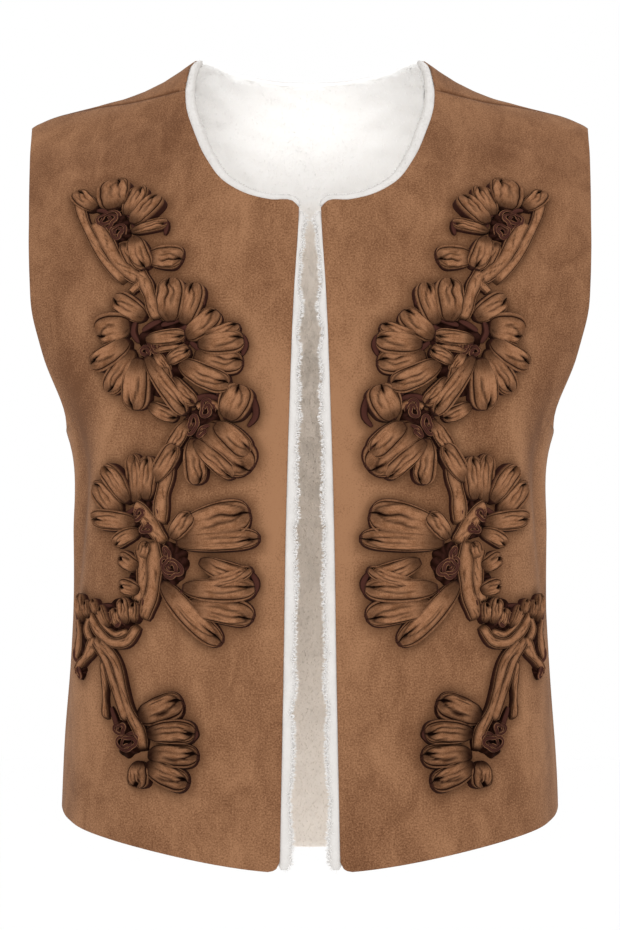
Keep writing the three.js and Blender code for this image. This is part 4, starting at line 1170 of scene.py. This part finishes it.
        # the ribbon's own turn shows as a smaller loop inside the rim, lying to one side
        aside = 0.2 * np.sign(wander[0]) * (0.6 + 0.5 * bold)
        loop = np.hypot((t - aside) / 0.6, (down - 0.5) / 0.43)
        loop += 0.03 * np.sin(7 * t + 6 * down + 40 * wander[0])
        past_root = ease(0.2, 0.5, down)
        lip = hump(loop, 1.0, 0.125) * past_root
        outside = ease(0.98, 1.06, loop) * past_root * (a < 0.98)
        gutter, rim = hump(a, 0.83, 0.05), hump(a, 0.94, 0.045)
        cheeks = 0.84 + 0.14 * hump(a, 0.42, 0.38) - 0.10 * ease(0.66, 0.92, a)
        ruck = 0.05 * np.sin(8 * down + 5 * t + self.phase()) * (a < 0.8)
        rise = cheeks + ruck + 0.09 * rim - 0.10 * gutter + rng.uniform(0.05, 0.2) * t
        rise = rise * (1 - 0.6 * cut) * (1 - 0.7 * hollow) * (1 - 0.16 * lip) * (1 - 0.1 * outside)
        rise = rise * (0.6 + 0.4 * ease(0.0, 0.4, down)) * (1 - 0.14 * ease(0.86, 1.0, down))
        outs = np.where(a >= 1.08, FOOT, np.where(a >= 1.0, high * 0.25, high * rise))
        outs[[0, -1]] = FOOT
        outs[1], outs[-2] = np.minimum(outs[1], high * 0.3), np.minimum(outs[-2], high * 0.45)
        outs = np.where(outs > 0, outs + lift, outs)
        # fine pleats run along the cheeks, and painted shade darkens the furrow, hollows, inner loop,
        # pleats, gutter, sides, root and tip
        pleats = 0
        for _ in range(folds):
            line = rng.choice([-1, 1]) * rng.uniform(0.24, 0.66)
            line = line + 0.07 * np.sin(5 * down + self.phase())
            begins = rng.uniform(0.05, 0.6)
            seen = ease(begins, begins + 0.1, down) * (1 - ease(begins + 0.3, begins + 0.45, down))
            pleats = np.maximum(pleats, hump(t, line, 0.055) * seen)
        tucked = np.maximum.reduce([
            1.1 * cut, 1.3 * hollow, 0.74 * lip, (0.32 + 0.05 * folds) * pleats, 1.2 * gutter,
            0.5 * np.exp(-a / 0.2) * opened,
            0.54 * ease(0.48, 0.84, a) - 0.30 * rim,
            0.72 * (1 - ease(0.02, 0.48, down)) + 0 * a,
            0.5 * ease(0.70, 0.92, down) * (1 - ease(0.5, 0.9, a))])
        # the outer slopes take the side colour, which also stands for the dark shadow outline round each
        # petal
        wall = np.maximum.reduce([
            ease(0.985, 1.02, a), ease(0.985, 1.005, down) + 0 * a, 1 - ease(0.0, 0.035, down) + 0 * a])
        self.strip(centre, angle, half, across, outs, tucked, wall, lean=1.5)

    def ribbon(self, wide, path, high=4.4):
        """Ribbon sewn down flat, its two edges stitched into raised cords."""
        rng = self.rng
        share, centre, aim = self.along(path, 0.4, 18)
        down = share[:, None]
        t = both_ways(HALF_RIBBON)[None] + 0 * down
        a = np.abs(t)
        ends = ease(0, 0.08, share) * (1 - ease(0.92, 1, share))
        gutter, rim = hump(a, 0.82, 0.05), hump(a, 0.93, 0.04)
        sway = 0.16 * np.sin(2 * math.pi * (down * rng.uniform(1.2, 2.2) + rng.uniform(0, 1)))
        creases = [hump(t, 0.45 * np.sin(down * rng.uniform(4, 9) + self.phase()), 0.08)
                   * ease(0.0, 0.9, np.sin(down * 13 + self.phase())) for _ in range(2)]
        crease = np.maximum(*creases)
        outs = high * (0.90 - 0.16 * a ** 2 + 0.10 * rim - 0.12 * gutter - 0.14 * crease + sway * t)
        outs = outs * (0.45 + 0.55 * ends[:, None])
        outs = np.where(a >= 1.1, FOOT, np.where(a >= 1.02, high * 0.25, outs))
        outs[[0, -1]] = FOOT
        half = wide / 2 * 1.06 * (1 + 0.07 * np.sin(share * 15 + self.phase())) * (0.7 + 0.3 * ends)
        # painted shade in the gutters and creases, towards the sides and at the ends
        tucked = np.maximum.reduce([
            1.05 * gutter, 0.65 * crease, 0.58 * ease(0.25, 0.82, a) - 0.36 * rim,
            0.8 * (1 - ends[:, None]) + 0 * a])
        self.strip(centre, aim, half, t, outs, tucked, ease(0.985, 1.02, a), lean=1.2)

    def on_edge(self, wide, path, high=4.8):
        """Ribbon standing on edge: only its dark underside shows, as a tapering band coloured partly as its
        own darker side and partly as painted shade.
        """
        share, centre, aim = self.along(path, 0.6, 14)
        t = both_ways(HALF_WALL)[None] + 0 * share[:, None]
        a = np.abs(t)
        ends = np.sqrt(np.clip(4 * share * (1 - share), 0, 1))
        slope = 0.78 - 0.10 * a ** 2 + 0.14 * t * self.rng.choice([-1, 1])
        outs = high * slope * (0.35 + 0.65 * ends[:, None])
        outs = np.where(a >= 1.1, FOOT, outs)
        outs[[0, -1]] = FOOT
        half = wide / 2 * 0.92 * (0.12 + 0.88 * ends)
        self.strip(centre, aim, half, t, outs, 0.62 * ease(0.6, 1.0, a) + 0.08, 1.0)

    def coil(self, u, v, radius, high=RIBBON_HIGH):
        """Ribbon folded to and fro and wound on edge: dark walls, their own darker side with painted shade,
        between two worn lighter rims.
        """
        rng = self.rng
        radius = radius * COIL_LOOSE
        self.ground(u, v, radius * COIL_LOOSE, high * 0.5)
        turns = max(radius / 4.6, 1.35)
        share = np.linspace(0, 1, int(34 * turns) + 10)
        spin = rng.uniform(0, 6.3) + share * turns * 2 * math.pi
        grow = radius * (0.18 + 0.74 * share ** 0.85)
        lobes = 1 + 0.20 * np.sin(2 * spin + self.phase()) + 0.12 * np.sin(3.4 * spin + self.phase())
        x, y = grow * lobes * np.cos(spin), grow * lobes * rng.uniform(0.62, 0.9) * np.sin(spin)
        twist = rng.uniform(0, math.pi)
        centre = np.stack([u + x * math.cos(twist) - y * math.sin(twist),
                           v + x * math.sin(twist) + y * math.cos(twist)], -1)
        flow = np.gradient(centre, axis=0)
        t = both_ways(HALF_FOLD)[None] + 0 * share[:, None]
        a = np.abs(t)
        ends = (ease(0, 0.06, share) * (1 - ease(0.94, 1, share)))[:, None]
        top = high * (0.98 - 0.24 * share + 0.12 * np.sin(spin * 1.7))[:, None]
        rim = hump(a, 0.72, 0.16)
        outs = top * (0.88 + 0.14 * rim + 0.12 * t - 0.5 * ease(0.85, 1.25, a)) * (0.5 + 0.5 * ends)
        outs[:, [0, -1]] = 1.0
        outs[[0, -1]] = 0.5
        shade_and_wear = (0.6 + 0.4 * np.sin(spin * 2.3 + self.phase()))[:, None]
        # painted shade down the walls and in a groove either side of the middle
        tucked = np.maximum(0.95 * ease(0.86, 1.05, a), 0.55 * hump(a, 0.42, 0.12)) - 0.1 * rim
        self.strip(centre, np.arctan2(flow[:, 1], flow[:, 0]), np.full(len(share), HALF_FOLD_WIDE),
                   t, outs, tucked, 1 - 0.85 * shade_and_wear * rim)

    def piece(self, name, turn):
        places = np.concatenate(self.places) * (turn, 1)
        faces = self.faces if turn > 0 else [face[::-1] for face in self.faces]
        marks = {"tucked": np.concatenate(self.dark), "cut side": np.concatenate(self.edge)}
        return cloth_mesh(name, places, np.concatenate(self.outs), faces, np.concatenate(self.lie), marks)


ribbon_finish, surface, paint = new_finish(
    "gathered ribbon", Sheen_Weight=0.02, Sheen_Roughness=0.5, Sheen_Tint=(1.0, 0.8, 0.6, 1),
    Specular_IOR_Level=0.03)
lie = paint.flat_cut()
lengthwise = paint.laid(lie, (0.42, 1.0, 1.0))
rubbed = paint.noise(lie, 130, 3, 0.6)
fibres = paint.noise(lie, 1100, 3, 0.7)
strands = paint.noise(lengthwise, 620, 3, 0.6)
face = paint.mix((rubbed * 0.7 + fibres * 0.8 + strands * 0.5).spread(0.84, 1.12), RIBBON_WARM, RIBBON_LIGHT)
patchy = (rubbed - 0.5) * 0.3
# the sides take the darker side colour, which also stands for the shade on them
walled = paint.mix((paint.mark("cut side") + patchy).spread(0.15, 0.95), face, RIBBON_SIDE_AND_SHADE)
shade = (paint.mark("tucked") + patchy).spread(0.05, 0.9)
# the folds are mixed towards the painted shade colour
join_up(paint, surface,
        Base_Color=paint.mix(shade, walled, RIBBON_SHADE),
        Roughness=0.85 + rubbed * 0.1,
        Normal=paint.bump(fibres * 0.7 + rubbed * 0.4, 0.4, 0.0006))

FIRST_SEED = 100
ribbon_places = []
for k, (flower, parts) in enumerate(FLOWERS.items()):
    work = RibbonWork(FIRST_SEED + k)
    middle_u, middle_v = parts["middle"]
    for u, v, radius in parts["ground"]:
        work.ground(middle_u + u, middle_v + v, radius, GATHERS_HIGH)
    for wide, path in parts["edges"]:
        work.on_edge(wide, [(middle_u + u, middle_v + v) for u, v in path])
    for wide, path in parts["ribbons"]:
        work.ribbon(wide, [(middle_u + u, middle_v + v) for u, v in path])
    folds = parts.get("folds", USUAL_FOLDS)
    for turn, (u, v, aim, long, wide) in enumerate(parts["petals"]):
        work.petal(middle_u + u, middle_v + v, aim, long, wide, folds, PETAL_LAP * (turn % LAPS))
    for u, v, radius in parts["coils"]:
        work.coil(middle_u + u, middle_v + v, radius)
    ribbon_places += work.places
    work.dark = [dark + parts.get("shade", 0) for dark in work.dark]
    for side, turn in (("left", 1), ("right", -1)):
        bloom = work.piece(f"ribbon_{flower}_{side}", turn)
        bloom.data.materials.append(ribbon_finish)
        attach(bloom, "root")
        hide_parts(f"flower_{flower}_{side}")

# Close round the ribbon work the suede is painted darker, as the shadow the ribbons cast on it.
FLOWER_SHADOW_REACH = 4.2
sewn_places = np.concatenate(ribbon_places)
near = KDTree(len(sewn_places))
for k, (u, v) in enumerate(sewn_places):
    near.insert((u, v, 0), k)
near.balance()
away = np.array([near.find((u, v, 0))[2] for u, v in front_grid.reshape(-1, 2)])
pressed = np.concatenate([np.exp(-((away / FLOWER_SHADOW_REACH) ** 2))] * 2)
for side in ("left", "right"):
    set_mark(bpy.data.objects[f"suede_front_{side}"].data, "pressed", pressed)

# ---- The studio ----
# A plain pale floor well below the vest, an even white surround, three broad soft lights, and one
# very small lamp inside the vest that lights only the back of the lining. All places are metres.

FLOOR_Z, FLOOR_RADIUS = -1.35, 12
bpy.ops.mesh.primitive_circle_add(
    vertices=64, radius=FLOOR_RADIUS, fill_type="NGON", location=(0, 0, FLOOR_Z))
floor = bpy.context.object
floor.name = "floor"
floor_finish, surface, paint = new_finish("pale floor", Base_Color=(1, 1, 1, 1), Roughness=0.9)
floor.data.materials.append(floor_finish)

world = bpy.data.worlds.new("white surround")
bpy.context.scene.world = world
world.use_nodes = True
world.node_tree.nodes["Background"].inputs["Color"].default_value = (1, 1, 1, 1)
world.node_tree.nodes["Background"].inputs["Strength"].default_value = 1.0


def soft_lamp(name, spot, turn, wide, power):
    lamp = bpy.data.lights.new(name, "AREA")
    lamp.size, lamp.energy = wide, power
    light = bpy.data.objects.new(name, lamp)
    light.location, light.rotation_euler = spot, turn
    bpy.context.scene.collection.objects.link(light)
    return light


MIDDLE_OF_VEST = (0, 0, -0.25)
# name, place, width and power in watts
LAMPS = [
    ("front softbox", (-0.5, -2.9, 0.9), 1.3, 17), ("fill", (1.5, -2.4, 0.1), 1.3, 5),
    ("overhead", (0, 0.2, 2.4), 2.2, 9),
]
for name, spot, wide, power in LAMPS:
    toward = -(np.array(spot) - MIDDLE_OF_VEST)
    turn = (math.acos(toward[2] / np.linalg.norm(toward)) + math.pi, 0,
            math.atan2(toward[1], toward[0]) + math.pi / 2)
    soft_lamp(name, spot, turn, wide, power)

inner = soft_lamp("inner glow", (0, -0.02, -0.02), (math.pi / 2 + 0.2, 0, 0), 0.12, 0.009)
inner.data.shape, inner.data.size_y, inner.data.spread = "RECTANGLE", 0.05, 1.3
inner.visible_camera = False

FRAME_WIDE_MM, LENS_MM = 36, 155.88
lens = bpy.data.cameras.new("camera")
lens.lens, lens.sensor_width = LENS_MM, FRAME_WIDE_MM
camera = bpy.data.objects.new("camera", lens)
camera.location = (0, -3.0, -0.258)
camera.rotation_euler = (math.pi / 2, 0, 0)
bpy.context.scene.collection.objects.link(camera)
bpy.context.scene.camera = camera
bpy.context.scene.view_settings.view_transform = "Standard"
